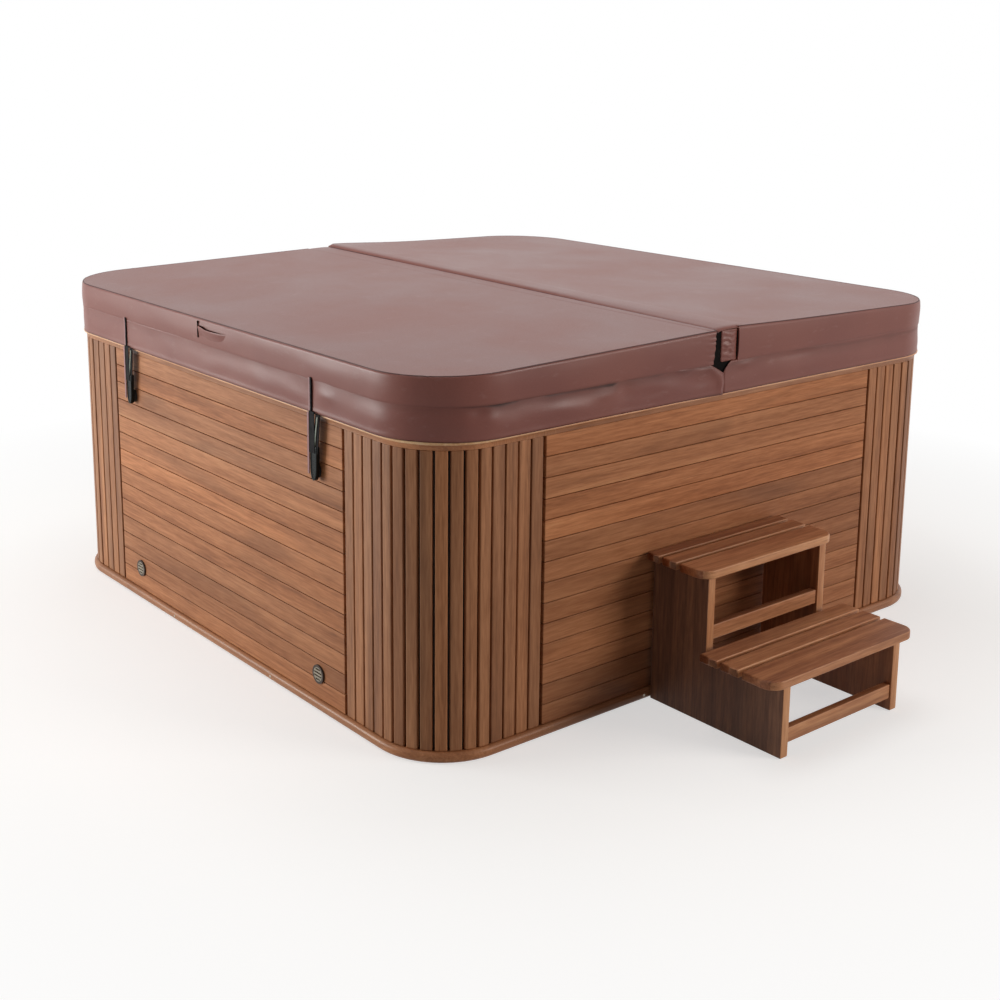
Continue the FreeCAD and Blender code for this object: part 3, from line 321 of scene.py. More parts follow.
panel_wood = sawn_wood(
    "panel_timber", [(0.3, 112, 67, 41), (0.45, 156, 100, 65), (0.58, 182, 123, 84), (0.74, 204, 148, 104)],
    (104, 65, 42), shine=0.2)
corner_wood = sawn_wood(
    "corner_timber", [(0.3, 104, 65, 41), (0.45, 150, 99, 65), (0.6, 180, 125, 87), (0.74, 206, 152, 110)],
    (96, 62, 40))
trim_wood = sawn_wood(
    "trim_timber", [(0.3, 118, 73, 46), (0.48, 162, 107, 71), (0.62, 188, 131, 91), (0.76, 210, 158, 114)],
    (120, 78, 50), 0.38)
step_wood = sawn_wood(
    "tread_timber", [(0.3, 110, 64, 41), (0.45, 157, 99, 66), (0.6, 193, 133, 93), (0.76, 218, 164, 122)],
    (104, 58, 36), 0.42)
# Paler copy of the tread timber for faces toward the front: painted light
front_lit_wood = sawn_wood(
    "step_front_lit_timber", [(0.3, 132, 82, 52), (0.45, 184, 124, 84), (0.6, 214, 156, 112), (0.76, 232, 184, 140)],
    (126, 78, 50), 0.42)
# Pale copy of the trim timber for the top trim's nose: a painted highlight
nose_highlight_wood = sawn_wood(
    "trim_nose_highlight_timber", [(0.3, 186, 132, 94), (0.46, 226, 174, 132), (0.62, 242, 198, 158), (0.78, 250, 216, 182)],
    (176, 122, 84), 0.4)
# Darker copy of the tread timber for the left side board: painted shade
shaded_board_wood = sawn_wood(
    "side_board_shaded_timber", [(0.3, 70, 42, 31), (0.48, 110, 74, 55), (0.64, 148, 104, 77), (0.78, 180, 130, 95)],
    (64, 40, 30))
frame_wood = sawn_wood(
    "frame_timber", [(0.3, 120, 92, 62), (0.5, 176, 142, 102), (0.7, 206, 176, 134)], (132, 98, 64), 0.6, False)
backing_wood = sawn_wood(
    "backing_board", [(0.3, 26, 17, 12), (0.5, 38, 26, 19), (0.7, 54, 38, 28)], (22, 15, 11), 0.7, False)
vinyl = cover_vinyl("maroon_vinyl", (130, 74, 65), (141, 85, 74))
# Darker vinyl for the welt, also used as painted shade along the hinge crease
welt_and_crease_shade_vinyl = cover_vinyl("welt_and_crease_shade_vinyl", (72, 38, 36), (84, 46, 42), 0.46)
# Near-black vinyl for sheets that paint shade: the hinge gap, the slit beside the seal and the slot behind the grip
gap_shade_vinyl = cover_vinyl("gap_shade_vinyl", (14, 12, 11), (24, 20, 18), 0.85, 0.08)
# Paler copy of the maroon vinyl for the strap tab: painted sheen
strap_sheen_vinyl = cover_vinyl("strap_sheen_vinyl", (148, 104, 104), (168, 124, 124), 0.46)
webbing = woven_tape("black_webbing", (8, 6, 7), (22, 17, 17))
# Pale copy of the black webbing: a painted highlight
lit_webbing = woven_tape("lit_webbing", (128, 136, 124), (176, 180, 170))
black_plastic = moulded_plastic("black_plastic", (24, 26, 26), (42, 48, 44), 0.42, shine=0.3)
buckle_plastic = moulded_plastic("buckle_plastic", (6, 9, 9), (16, 34, 28), 0.3, shine=0.16)
vent_plastic = louvre_plastic()
grey_plastic = moulded_plastic("grey_plastic", (128, 132, 136), (150, 153, 156), 0.38)
pan_plastic = moulded_plastic("pan_plastic", (40, 40, 42), (60, 60, 60), 0.6, 120.0)
pipe_plastic = moulded_plastic("pipe_plastic", (226, 227, 224), (206, 206, 200), 0.34)
motor_paint = moulded_plastic("motor_paint", (52, 60, 68), (70, 78, 86), 0.4, 90.0)
screw_steel = bare_metal("screw_steel", (190, 182, 168), (140, 126, 108), 0.34, (300.0, 300.0, 300.0))
jet_chrome = bare_metal("jet_chrome", (214, 216, 218), (176, 180, 184), 0.16, (90.0, 90.0, 900.0))
channel_metal = bare_metal("channel_metal", (176, 180, 182), (140, 144, 146), 0.4, (8.0, 300.0, 300.0))
acrylic = marbled_acrylic()
fleece = filter_fleece()

# Nodes that keep their solids, by finish
CARRIED = [
    (pan_plastic, "base_pan"),
    (frame_wood, "frame_timbers", "step_dowels"),
    (backing_wood, "panel_battens", "corner_backings"),
    (screw_steel, "trim_screws"),
    (vent_plastic, "side_vents"),
    (acrylic, "shell"),
    (jet_chrome, "seat_jets", "foot_jets"),
    (grey_plastic, "suction_covers", "filter_housing", "filter_lid", "control_box"),
    (grey_plastic, "button_jets", "button_light", "button_heat"),
    (fleece, "filter_cartridge"),
    (black_plastic, "control_panel", "diverter_knob", "air_knob", "pump_wet_end"),
    (motor_paint, "pump_motor"),
    (channel_metal, "heater", "cover_left_channel", "cover_right_channel"),
    (pipe_plastic, "pipework"),
]
for material, *names in CARRIED:
    for name in names:
        for holder in nodes[name].material_slots:
            holder.material = material


# Making pieces

def hold(name, data):
    """An object of the scene for a mesh, a lamp or a camera."""
    holder = bpy.data.objects.new(name, data)
    bpy.context.scene.collection.objects.link(holder)
    return holder


def mesh_object(name, bm, material):
    mesh = bpy.data.meshes.new(name)
    bm.to_mesh(mesh)
    bm.free()
    mesh.materials.append(material)
    return hold(name, mesh)


def face_out(bm):
    ops.recalc_face_normals(bm, faces=bm.faces[:])


def finish_piece(name, bm, material, body, slot_name, *replaced, second=None, sharp=None, even=False):
    """Makes an object and ties it to the frame. Edges past sharp degrees stay crisp."""
    ops.remove_doubles(bm, verts=bm.verts[:], dist=0.00001)
    face_out(bm)
    for face in bm.faces:
        face.smooth = True
    made = mesh_object(name, bm, material)
    if body:
        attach(made, body)
    if replaced:
        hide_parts(*replaced)
    if second:
        made.data.materials.append(second)
    if sharp:
        made.data.set_sharp_from_angle(angle=radians(sharp))
    if even:
        made.modifiers.new("even_normals", "WEIGHTED_NORMAL").keep_sharp = True
    return made


def run(across, along, steps):
    """A straight move of sweep, made of steps across and along."""
    return (0, 0, 0), 0.0, (across, along, 0), steps


def bend(x, y, steps):
    """A quarter turn of sweep about an upright axis."""
    return (x, y, 0), QUARTER, (0, 0, 0), steps


def sweep(bm, geom, moves):
    """Carries a profile through moves."""
    for centre, angle, step, steps in moves:
        made = ops.spin(bm, geom=geom, cent=centre, axis=(0, 0, 1), dvec=step, angle=angle, steps=steps,
                        use_merge=False, use_normal_flip=False, use_duplicate=False)
        geom = made["geom_last"]
    return geom


def chain(bm, points):
    """A line of vertices joined by edges."""
    verts = [bm.verts.new(point) for point in points]
    return verts + [bm.edges.new(pair) for pair in zip(verts, verts[1:])]


def plate(bm, points):
    return bm.faces.new([bm.verts.new(point) for point in points])


def only(geom, kind):
    return [item for item in geom if isinstance(item, kind)]


def pull(bm, faces, way):
    """Draws faces out by a step. Gives the faces that moved."""
    made = ops.extrude_face_region(bm, geom=faces)["geom"]
    ops.translate(bm, verts=only(made, BMVert), vec=way)
    return only(made, BMFace)


def box(bm, low, high):
    """A block between two corners. Gives its vertices."""
    low, high = Vector(low), Vector(high)
    place = Matrix.Translation((low + high) / 2) @ Matrix.Diagonal((*(high - low), 1.0))
    return ops.create_cube(bm, size=1.0, matrix=place)["verts"]


def ease(bm, edges, radius, segments, clamp=False):
    """Rounds edges off."""
    ops.bevel(bm, geom=edges, offset=radius, offset_type="OFFSET", segments=segments, profile=0.5,
              affect="EDGES", material=-1, clamp_overlap=clamp)


def flip(bm, sign):
    ops.scale(bm, vec=(sign, 1.0, 1.0), verts=bm.verts[:])


class Timber:
    """Boards of one node, each with its own grain place and tone. A vertex has no tone until it is settled."""

    def __init__(self, seed, spread):
        self.bm = bmesh.new()
        self.grain = self.bm.verts.layers.float_vector.new("grain")
        self.tone = self.bm.verts.layers.float.new("tone")
        self.dice = random.Random(seed)
        self.spread = spread

    def fresh(self, verts):
        return all(vert[self.tone] == 0.0 for vert in verts)

    def edges(self, test=lambda first, last: True):
        return [e for e in self.bm.edges if self.fresh(e.verts) and test(e.verts[0].co, e.verts[1].co)]

    def ease(self, edges, radius, segments):
        ease(self.bm, edges, radius, segments, True)

    def settle(self, along, across, turn=Matrix.Identity(4), tone=None):
        along, across = Vector(along), Vector(across)
        axes = along, across, along.cross(across)
        shift = Vector([self.dice.uniform(0.0, 40.0) for axis in range(3)])
        tone = self.dice.gauss(0.0, self.spread) if tone is None else tone
        for vert in self.bm.verts:
            if self.fresh([vert]):
                vert[self.grain] = shift + Vector([vert.co.dot(axis) for axis in axes])
                vert[self.tone] = tone or 0.001
                vert.co = turn @ vert.co

    def board(self, low, high, radius, *lay):
        box(self.bm, low, high)
        self.ease(self.edges(), radius, 2)
        self.settle(*lay)


def quarter_turn(count):
    return Matrix.Rotation(QUARTER * count, 4, "Z")


# Cabinet slats

def side_panel(count, name):
    timber = Timber(11 + count, 0.8)
    pitch = (SLAT_HIGH - SLAT_LOW) / SLAT_ROWS
    for row in range(SLAT_ROWS):
        low = SLAT_LOW + row * pitch + SLAT_GAP / 2
        high = low + pitch - SLAT_GAP
        timber.board((-SLAT_HALF, -CABINET, low), (SLAT_HALF, -CABINET + SLAT_STOCK, high), SLAT_EASE,
                     (1, 0, 0), (0, 0, 1), quarter_turn(count))
    finish_piece(name + "_panel_slats", timber.bm, panel_wood, "tub", "slat_wood", name + "_slats", even=True)


def corner_panel(count, name):
    """Staves along both sides of a corner and round its bend."""
    timber = Timber(31 + count, 1.0)
    turn = quarter_turn(count)
    back = -CABINET + SLAT_STOCK
    pitch = (CABINET - CORNER - SEAM) / STAVES_FLAT
    for place in range(STAVES_FLAT):
        low = SEAM + place * pitch + STAVE_GAP / 2
        high = low + pitch - STAVE_GAP
        timber.board((-CABINET, -high, SLAT_LOW), (back, -low, SLAT_HIGH), STAVE_EASE, (0, 0, 1), (0, 1, 0), turn)
        timber.board((-high, -CABINET, SLAT_LOW), (-low, back, SLAT_HIGH), STAVE_EASE, (0, 0, 1), (1, 0, 0), turn)
    angle = QUARTER / STAVES_BEND
    inner = CORNER - SLAT_STOCK
    half = inner * tan(angle / 2) - BEND_GAP / 2
    centre = Matrix.Translation((CORNER - CABINET, CORNER - CABINET, 0.0))
    for place in range(STAVES_BEND):
        lean = Matrix.Rotation(angle * (place + 0.5), 4, "Z")
        timber.board((-CORNER, -half, SLAT_LOW), (-inner, half, SLAT_HIGH), STAVE_EASE,
                     (0, 0, 1), (0, 1, 0), turn @ centre @ lean)
    finish_piece(name + "_corner_slats", timber.bm, corner_wood, "tub", "slat_wood", "corner_slats_" + name,
                 even=True)


def arc(across, up, radius, first, last):
    """Points of a rounding in steps of 18 degrees, from 0, straight down, to 10, straight up."""
    turns = [radians(18 * step - 90) for step in range(first, last + 1)]
    return [(across + radius * cos(turn), up + radius * sin(turn)) for turn in turns]


def trim_ring(name, seed, low, high, proud, rounding, back, foot, rise, nose):
    """Moulding in four lengths and four bends, each its own piece of timber.

    It stands out by foot, rounded by rise, at its lower edge, and by proud at its top, which may have a nose.
    """
    timber = Timber(seed, 0.6)
    flat = CABINET - CORNER
    lower = CABINET + foot - rise
    upper = CABINET + proud - rounding
    section = [(back, low), (lower, low)] + arc(lower, low + rise, rise, 1, 5)
    if nose:
        section += [(CABINET + foot, high - 2 * rounding - 0.0006)]
    section += arc(upper, high - rounding, rounding, 1 if nose else 5, 10) + [(back, high)]
    for count in range(4):
        for start, move in ((-flat, run(0, 2 * flat / 8, 8)), (flat, bend(flat, flat, 20))):
            sweep(timber.bm, [plate(timber.bm, [(x, start, z) for x, z in section])], [move])
            timber.settle((0, 1, 0), (0, 0, 1), quarter_turn(count))
    made = finish_piece(name + "_moulding", timber.bm, trim_wood, "tub", "trim_wood", name, second=nose_highlight_wood,
                        even=True)
    # Nose faces take the pale timber: a painted highlight along the nose
    for face in made.data.polygons:
        face.material_index = 1 if nose and face.center.z > high - 2 * rounding else 0


for count, name in enumerate(["front", "right", "back", "left"]):
    side_panel(count, name)
for count, name in enumerate(["front_left", "front_right", "back_right", "back_left"]):
    corner_panel(count, name)
trim_ring("bottom_trim", 51, low=0.0, high=SLAT_LOW, proud=0.012, rounding=0.012, back=CABINET - SLAT_STOCK,
          foot=0.012, rise=0.012, nose=False)
trim_ring("top_trim", 52, low=SLAT_HIGH, high=SKIRT_LOW, proud=0.01, rounding=0.0035,
          back=CABINET - SLAT_STOCK - 0.012, foot=0.0006, rise=0.0005, nose=True)


# Timber steps

STEP_MIDDLE = -0.024
STEP_FRONT = 1.533
STEP_RISER = 1.262
STEP_BACK = 1.0573
STEP_LOWER = 0.202
STEP_UPPER = 0.416
SIDE_STOCK = 0.029
SIDE_LEFT = -0.272
SIDE_RIGHT = 0.195
TREAD_STOCK = 0.024
TREAD_GAP = 0.014
TREAD_CORNER = 0.04
TREAD_NOSE = 0.012
RAIL_STOCK = 0.022
RAIL_HEIGHT = 0.042
RAIL_SETBACK = 0.004


def step_piece(timber, name, wood, replaced):
    """Finishes boards of the steps; faces toward the front take a paler timber, painted light."""
    timber.bm.normal_update()
    # Painted light: faces toward the front take the paler timber
    for face in timber.bm.faces:
        face.material_index = 1 if face.normal.y < -0.6 else 0
    finish_piece(name, timber.bm, wood, "steps", "step_wood", replaced, second=front_lit_wood, even=True)


def step_side(name, x, seed, wood):
    timber = Timber(seed, 0.4)
    outline = [(-STEP_BACK, 0.0), (-STEP_FRONT, 0.0), (-STEP_FRONT, STEP_LOWER), (-STEP_RISER, STEP_LOWER),
               (-STEP_RISER, STEP_UPPER), (-STEP_BACK, STEP_UPPER)]
    pull(timber.bm, [plate(timber.bm, [(x, y, z) for y, z in outline])], (SIDE_STOCK, 0, 0))
    face_out(timber.bm)
    timber.ease(timber.edges(), 0.003, 2)
    timber.settle((0, 0, 1), (0, 1, 0), tone=0.1)
    step_piece(timber, name + "_board", wood, name)


def step_tread(name, front, top, length, widths, seed):
    timber = Timber(seed, 0.7)
    y = -front
    half = length / 2
    for place, width in enumerate(widths):
        box(timber.bm, (STEP_MIDDLE - half, y, top - TREAD_STOCK), (STEP_MIDDLE + half, y + width, top))
        if place == 0:
            corners = timber.edges(lambda a, b: abs(a.z - b.z) > 0.01 and abs(a.y - y) < 0.001)
            timber.ease(corners, TREAD_CORNER, 8)
        timber.ease(timber.edges(lambda a, b: abs(a.z - b.z) < 0.0001), 0.0035, 3)
        timber.settle((1, 0, 0), (0, 1, 0))
        y += width + TREAD_GAP
    step_piece(timber, name + "_boards", step_wood, name)


def step_rails():
    timber = Timber(65, 0.5)
    for front, low in [(STEP_RISER, 0.234), (STEP_FRONT, 0.036)]:
        y = -front + RAIL_SETBACK
        timber.board((SIDE_LEFT + SIDE_STOCK, y, low), (SIDE_RIGHT, y + RAIL_STOCK, low + RAIL_HEIGHT), 0.003,
                     (1, 0, 0), (0, 0, 1))
    step_piece(timber, "step_rail_boards", step_wood, "step_rails")


# The left board takes the darker timber as painted shade; the right board takes the tread timber
step_side("step_left_side", SIDE_LEFT, 61, shaded_board_wood)
step_side("step_right_side", SIDE_RIGHT, 62, step_wood)
step_tread("step_lower_tread", STEP_FRONT + TREAD_NOSE, STEP_LOWER + TREAD_STOCK, 0.604, [0.107, 0.06, 0.06], 63)
step_tread("step_upper_tread", STEP_RISER + TREAD_NOSE, STEP_UPPER + TREAD_STOCK, 0.544, [0.096, 0.052, 0.042], 64)
step_rails()


# Padded cover

def eased(share):
    return share * share * (3.0 - 2.0 * share)


def bell(distance, spread):
    return exp(-(distance / spread) ** 2)


def drift(x, y, z):
    """Smooth random value between -1 and 1 at a place."""
    return noise.noise(Vector((x, y, z)))


def along(table, place):
    """Value from rows of place and value, eased between them."""
    for (low, first), (high, last) in zip(table, table[1:]):
        if place <= high:
            return first + (last - first) * eased(max(0.0, (place - low) / (high - low)))
    return table[-1][1]


def ridge(x):
    return COVER_RIDGE - (COVER_RIDGE - COVER_EDGE) * abs(x) / COVER


def crease(y):
    """Place of the hinge crease, which runs a little askew across the cover."""
    return CREASE_FRONT + (CREASE_BACK - CREASE_FRONT) * (y + COVER) / (2 * COVER)


def swell(x, y):
    """How far the top of the right half stands up beside the crease."""
    past = x - crease(y)
    if past <= 0.0:
        return 0.0
    share = (y + COVER) / (2 * COVER)
    height = 0.004 + 0.007 * share
    reach = 0.007 + 0.026 * max(0.0, 1.0 - share / 0.35)
    return height * (1.0 - exp(-past / reach)) * bell(past, 0.25)


def cover_top(x, y, sign):
    return ridge(x) + (swell(x, y) if sign > 0 else 0.0)


def around(x, y):
    """Length along the edge of a cover half from the middle of the front."""
    x = abs(x)
    quarter = COVER_CORNER * QUARTER
    if x <= COVER_FLAT and y < 0:
        return x
    if y < -COVER_FLAT:
        return COVER_FLAT + COVER_CORNER * atan2(x - COVER_FLAT, -y - COVER_FLAT)
    if y <= COVER_FLAT and x > COVER_FLAT:
        return 2 * COVER_FLAT + quarter + y
    if x > COVER_FLAT:
        return 3 * COVER_FLAT + quarter + COVER_CORNER * atan2(y - COVER_FLAT, x - COVER_FLAT)
    return 4 * COVER_FLAT + 2 * quarter - x


def outward(x, y):
    """Direction away from the cover at a point of its edge."""
    reach = Vector((max(abs(x) - COVER_FLAT, 0.0), max(abs(y) - COVER_FLAT, 0.0), 0.0))
    if reach.length < 0.001:
        return Vector()
    reach.normalize()
    return Vector((copysign(reach.x, x), copysign(reach.y, y), 0.0))


def edge_moves(start, spacing):
    """Moves round three sides of a cover half, from the hinge end in front to the one behind."""
    flat = COVER_FLAT - start
    steps = round(flat / spacing)
    long = round(2 * COVER_FLAT / spacing)
    turn = round(COVER_CORNER * QUARTER / spacing)
    return [
        run(flat / steps, 0, steps),
        bend(COVER_FLAT, -COVER_FLAT, turn),
        run(0, 2 * COVER_FLAT / long, long),
        bend(COVER_FLAT, COVER_FLAT, turn),
        run(-flat / steps, 0, steps),
    ]


# Rows of the jacket as shares of its height, and cuts across its top
JACKET_ROWS = [0.0, 0.02, 0.05, *[round(0.09 + 0.04 * step, 2) for step in range(21)],
               0.92, 0.95, 0.968, 0.984, 0.994, 1.0]
TOP_CUTS = [0.05, 0.062, 0.075, 0.09, 0.11, 0.14, 0.18, 0.23, 0.3, 0.4, 0.52, 0.64, 0.76, 0.86, 0.94, 1.0]


def cover_jacket(half, sign, face):
    """Vinyl drawn over the foam of one half, crowned at its top edge and puckered beside the hinge."""
    bm = bmesh.new()
    section = chain(bm, [(face, -COVER, row) for row in JACKET_ROWS])
    end = sweep(bm, section, edge_moves(face, 0.015))
    sweep(bm, end, [run(0, -COVER / 50, 100)])
    ops.remove_doubles(bm, verts=bm.verts[:], dist=0.0001)
    for level in (0.0, 1.0):
        rim = [e for e in bm.edges if all(abs(v.co.z - level) < 0.0001 for v in e.verts)]
        ops.edgeloop_fill(bm, edges=rim)
    inner = [max(bm.faces, key=lambda f: f.calc_area() if f.calc_center_median().z > 0.99 else 0.0)]
    cuts = [((x, 0, 0), (1, 0, 0)) for x in TOP_CUTS]
    cuts += [((0, y / 20 * COVER, 0), (0, 1, 0)) for y in range(-19, 20)]
    for place, direction in cuts:
        geom = inner + list({e for f in inner for e in f.edges}) + list({v for f in inner for v in f.verts})
        made = ops.bisect_plane(bm, geom=geom, dist=0.0001, plane_co=place, plane_no=direction)
        inner = only(made["geom"], BMFace)
    soil = bm.verts.layers.float.new("soil")
    for vert in bm.verts:
        x, y, row = vert.co
        away = outward(x, y)
        corner = Vector((abs(x) - COVER_FLAT, abs(y) - COVER_FLAT))
        on_bend = abs(away.x * away.y) > 0.0001 and corner.length > COVER_CORNER - 0.0001
        on_edge = on_bend or max(abs(x), abs(y)) > COVER - 0.0001
        z = COVER_LOW + row * (cover_top(x, y, sign) - COVER_LOW)
        near_end = bell(COVER - abs(y), 0.06)
        near_face = bell(x - face, 0.03)
        if on_edge and away.length > 0.5:
            length = around(x, y)
            belly = 0.0022 * sin(pi * row)
            tuck = 0.0006 * max(0.0, 1.0 - row / 0.06) ** 2
            crown = 0.008 * (1.0 - sqrt(max(0.0, 1.0 - max(0.0, (row - 0.92) / 0.08) ** 2)))
            ripple = 0.0011 * drift(length * 5.0 + 9.0 * sign, row * 1.6, 2.0)
            if sign < 0:
                stitch = near_face * sin(row * 34.0 + 5.0 * drift(length * 40.0, row * 3.0, 7.0))
                ripple += 0.0011 * stitch * min(1.0, (1.0 - row) / 0.2)
                # Painted shade in the pucker valleys beside the hinge end and along the crease at the pad's lower
                # edge
                vert[soil] = 0.55 * max(0.0, -stitch - 0.3)
            vert[soil] += 0.5 * along(CREASES[sign], length) / DEEP_CREASE * max(0.0, 1.0 - row / 0.07)
            x -= away.x * (tuck + crown - belly - ripple)
            y -= away.y * (tuck + crown - belly - ripple)
            bow = 0.008 * (1.0 - row) if sign < 0 else 0.001 * sin(pi * row)
            x += bow * near_end * near_face if abs(away.y) > 0.99 else 0.0
        elif row > 0.999 and x > face + 0.0001:
            rest = min(1.0, min(COVER - abs(x), COVER - abs(y)) / 0.12)
            calm = min(1.0, max(0.0, abs(x) - 0.08) / 0.2)
            z += rest * calm * 0.0018 * (drift(x * 2.2, y * 2.2, 5.0 * sign) - 0.15)
        vert.co = (x, y, z)
    flip(bm, sign)
    made = finish_piece(half + "_pad", bm, vinyl, half, "cover_vinyl", half + "_jacket", half + "_foam",
                        sharp=50, even=True)
    return made


def cover_welt(half, sign, face):
    """Thin piping sewn along the top edge."""
    bm = bmesh.new()
    ops.create_circle(bm, cap_ends=False, segments=8, radius=0.0018)
    turn = Matrix.Translation((face, -COVER + 0.0036, -0.0014)) @ Matrix.Rotation(QUARTER, 4, "Y")
    ops.transform(bm, matrix=turn, verts=bm.verts[:])
    sweep(bm, bm.verts[:] + bm.edges[:], edge_moves(face, 0.02))
    for level in (-1, 1):
        rim = [e for e in bm.edges if e.is_boundary and e.verts[0].co.y * level > 0]
        ops.edgeloop_fill(bm, edges=rim)
    for vert in bm.verts:
        vert.co.z += cover_top(vert.co.x, vert.co.y, sign)
    flip(bm, sign)
    finish_piece(half + "_welt", bm, welt_and_crease_shade_vinyl, half, "cover_vinyl")


def hinge_strip():
    """One length of vinyl over the fold, sewn to both halves and pressed into a crease."""
    bm = bmesh.new()
    ops.create_grid(bm, x_segments=40, y_segments=150, size=1.0)
    for vert in bm.verts:
        across, y = vert.co.x, vert.co.y * (COVER - 0.0004)
        fold = crease(y)
        width = STRIP_RIGHT - fold if across > 0 else fold + STRIP_LEFT
        x = fold + copysign(abs(across) ** 1.8, across) * width
        end = max(0.0, (abs(y) - COVER + 0.008) / 0.008)
        z = ridge(x) + swell(x, y) + 0.0009
        z -= 0.003 * bell(x - fold, 0.0035)
        z -= 0.0022 * abs(across) ** 14
        z -= 0.007 * (1.0 - sqrt(max(0.0, 1.0 - end * end)))
        vert.co = (x, y, z)
    area = sum(f.calc_area() for f in bm.faces)
    face_out(bm)
    ops.solidify(bm, geom=bm.faces[:], thickness=0.0012)
    # Faces along the crease take the darker welt vinyl: painted shade in the crease
    for face in bm.faces:
        middle = face.calc_center_median()
        face.material_index = 1 if abs(middle.x - crease(middle.y)) < 0.0018 else 0
    made = finish_piece("cover_hinge_strip", bm, vinyl, None, "cover_vinyl", second=welt_and_crease_shade_vinyl)
    area / (2 * COVER)
    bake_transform(made)


# Outlines across and up, and their outer and inner places from the middle
GAP_SHADE_FLAP = [(-0.0565, 1.03), (-0.028, 1.03), (-0.028, 0.95), (0.0345, 0.95), (0.0345, 0.9395), (0.02, 0.892),
          (-0.07, 0.892), (-0.07, 0.9395), (-0.0585, 0.9395)]
SEAL_STRIP = [(0.0335, 1.027), (0.0363, 1.027), (0.0368, 1.0), (0.0368, 0.975), (0.0363, 0.952), (0.0335, 0.952)]
HINGE_FLAPS = [(GAP_SHADE_FLAP, 1.0535, 1.052), (SEAL_STRIP, 1.0576, 1.03)]


def hinge_shade_flaps():
    """Black flaps at the ends of the hinge gap behind the skirts, and the strip beside the seal: dark sheets that
    paint the shade in the gap and in the slit.
    """
    bm = bmesh.new()
    for way in (-1, 1):
        for outline, outer, inner in HINGE_FLAPS:
            pull(bm, [plate(bm, [(x, way * outer, z) for x, z in outline])], (0, (inner - outer) * way, 0))
    finish_piece("hinge_end_shade_sheets", bm, gap_shade_vinyl, "cover_right", "cover_vinyl", sharp=40)


# Hang of the skirts by length along the edge: height of the seam, slack below it, depth of its crease
SEAMS = {
    -1: [(0.0, -0.004), (0.08, -0.002), (0.106, -0.0015), (0.13, 0.0025), (0.18, 0.0015), (0.2236, 0.0055),
         (0.275, 0.004), (0.322, 0.007), (0.375, 0.006), (0.42, 0.0125), (0.45, -0.001), (0.494, -0.001),
         (0.567, 0.001), (0.665, 0.0015), (0.72, 0.01), (0.76, 0.009), (0.787, 0.003), (0.84, 0.0005), (0.9, 0.004),
         (1.0, 0.009), (1.15, 0.012), (1.3, 0.012), (1.42, 0.009), (1.495, 0.003), (1.6, 0.011), (1.72, 0.012),
         (1.9, 0.009), (2.1, 0.004), (2.4, 0.0), (4.2, 0.0)],
    1: [(0.0, -0.006), (0.047, -0.004), (0.105, 0.003), (0.157, 0.0065), (0.224, 0.0075), (0.293, 0.004),
        (0.4, -0.001), (0.508, -0.008), (0.62, -0.008), (0.82, -0.007), (1.0, -0.005), (1.5, -0.002), (2.0, 0.0),
        (4.2, 0.0)],
}
SLACKS = {
    -1: [(0.0, 0.003), (0.12, 0.0036), (0.3, 0.0046), (0.42, 0.0058), (0.47, 0.0062), (0.62, 0.0052), (0.8, 0.005),
         (0.95, 0.0034), (1.2, 0.003), (1.5, 0.0018), (1.8, 0.003), (2.2, 0.0016), (4.2, 0.0012)],
    1: [(0.0, 0.0028), (0.1, 0.003), (0.3, 0.0036), (0.6, 0.0022), (1.0, 0.0016), (4.2, 0.0012)],
}
CREASES = {
    -1: [(0.0, 0.0012), (0.1, 0.002), (0.2, 0.0014), (0.3, 0.003), (0.39, 0.0034), (0.42, 0.0012), (0.455, 0.0044),
         (0.5, 0.0034), (0.6, 0.003), (0.7, 0.0036), (0.78, 0.0042), (0.9, 0.0042), (1.0, 0.0022), (1.15, 0.001),
         (1.4, 0.001), (1.9, 0.0008), (2.3, 0.0002), (4.2, 0.0002)],
    1: [(0.0, 0.0014), (0.25, 0.0014), (0.6, 0.0012), (4.2, 0.0008)],
}
DEEP_CREASE = 0.0042
# Share of the slack by drop below the seam: in under the pad, out, and in again at the hem
HANG = [(0.0, 0.0), (0.01, -0.5), (0.058, 0.55), (0.088, 0.1)]
# Small folds: length, height, spread along, spread upright, depth
FOLDS = {
    -1: [(0.118, 0.898, 0.045, 0.026, -0.004), (0.068, 0.929, 0.014, 0.009, 0.0034),
         (0.048, 0.911, 0.014, 0.013, 0.0046), (0.03, 0.886, 0.011, 0.022, 0.0046),
         (0.183, 0.938, 0.026, 0.005, 0.0022), (0.115, 0.9395, 0.022, 0.004, -0.003),
         (0.475, 0.912, 0.045, 0.018, 0.004), (0.405, 0.905, 0.026, 0.028, -0.0032),
         (0.3, 0.892, 0.06, 0.014, -0.0026), (0.62, 0.9, 0.06, 0.02, 0.0026), (0.895, 0.926, 0.022, 0.012, -0.0036),
         (0.862, 0.908, 0.028, 0.02, 0.003), (0.93, 0.9, 0.026, 0.03, 0.0022), (1.41, 0.905, 0.045, 0.02, 0.003),
         (1.47, 0.915, 0.022, 0.03, -0.0022)],
    1: [(0.075, 0.926, 0.03, 0.01, 0.0026), (0.3, 0.928, 0.08, 0.01, -0.0022), (0.5, 0.905, 0.08, 0.022, 0.0018)],
}


def skirt_stand(length, z, sign):
    """How far the skirt stands out of the flat line of the cover's edge."""
    drop = COVER_LOW + along(SEAMS[sign], length) - z
    stand = 0.0011 * drift(length * 9.0, z * 22.0, 4.0 + sign)
    stand += 0.0016 * drift(length * 2.6 + 20.0 * sign, z * 9.0, 1.0)
    if drop > 0.0:
        wander = 0.8 + 0.7 * drift(length * 6.0, 3.0 * sign, 8.0)
        stand += along(SLACKS[sign], length) * along(HANG, drop) * wander
    stand -= along(CREASES[sign], length) * bell(drop, 0.005)
    for place, height, wide, tall, depth in FOLDS[sign]:
        stand += depth * bell(length - place, wide) * bell(z - height, tall)
    return stand + 0.0009 * bell(z - SKIRT_LOW - 0.006, 0.004)


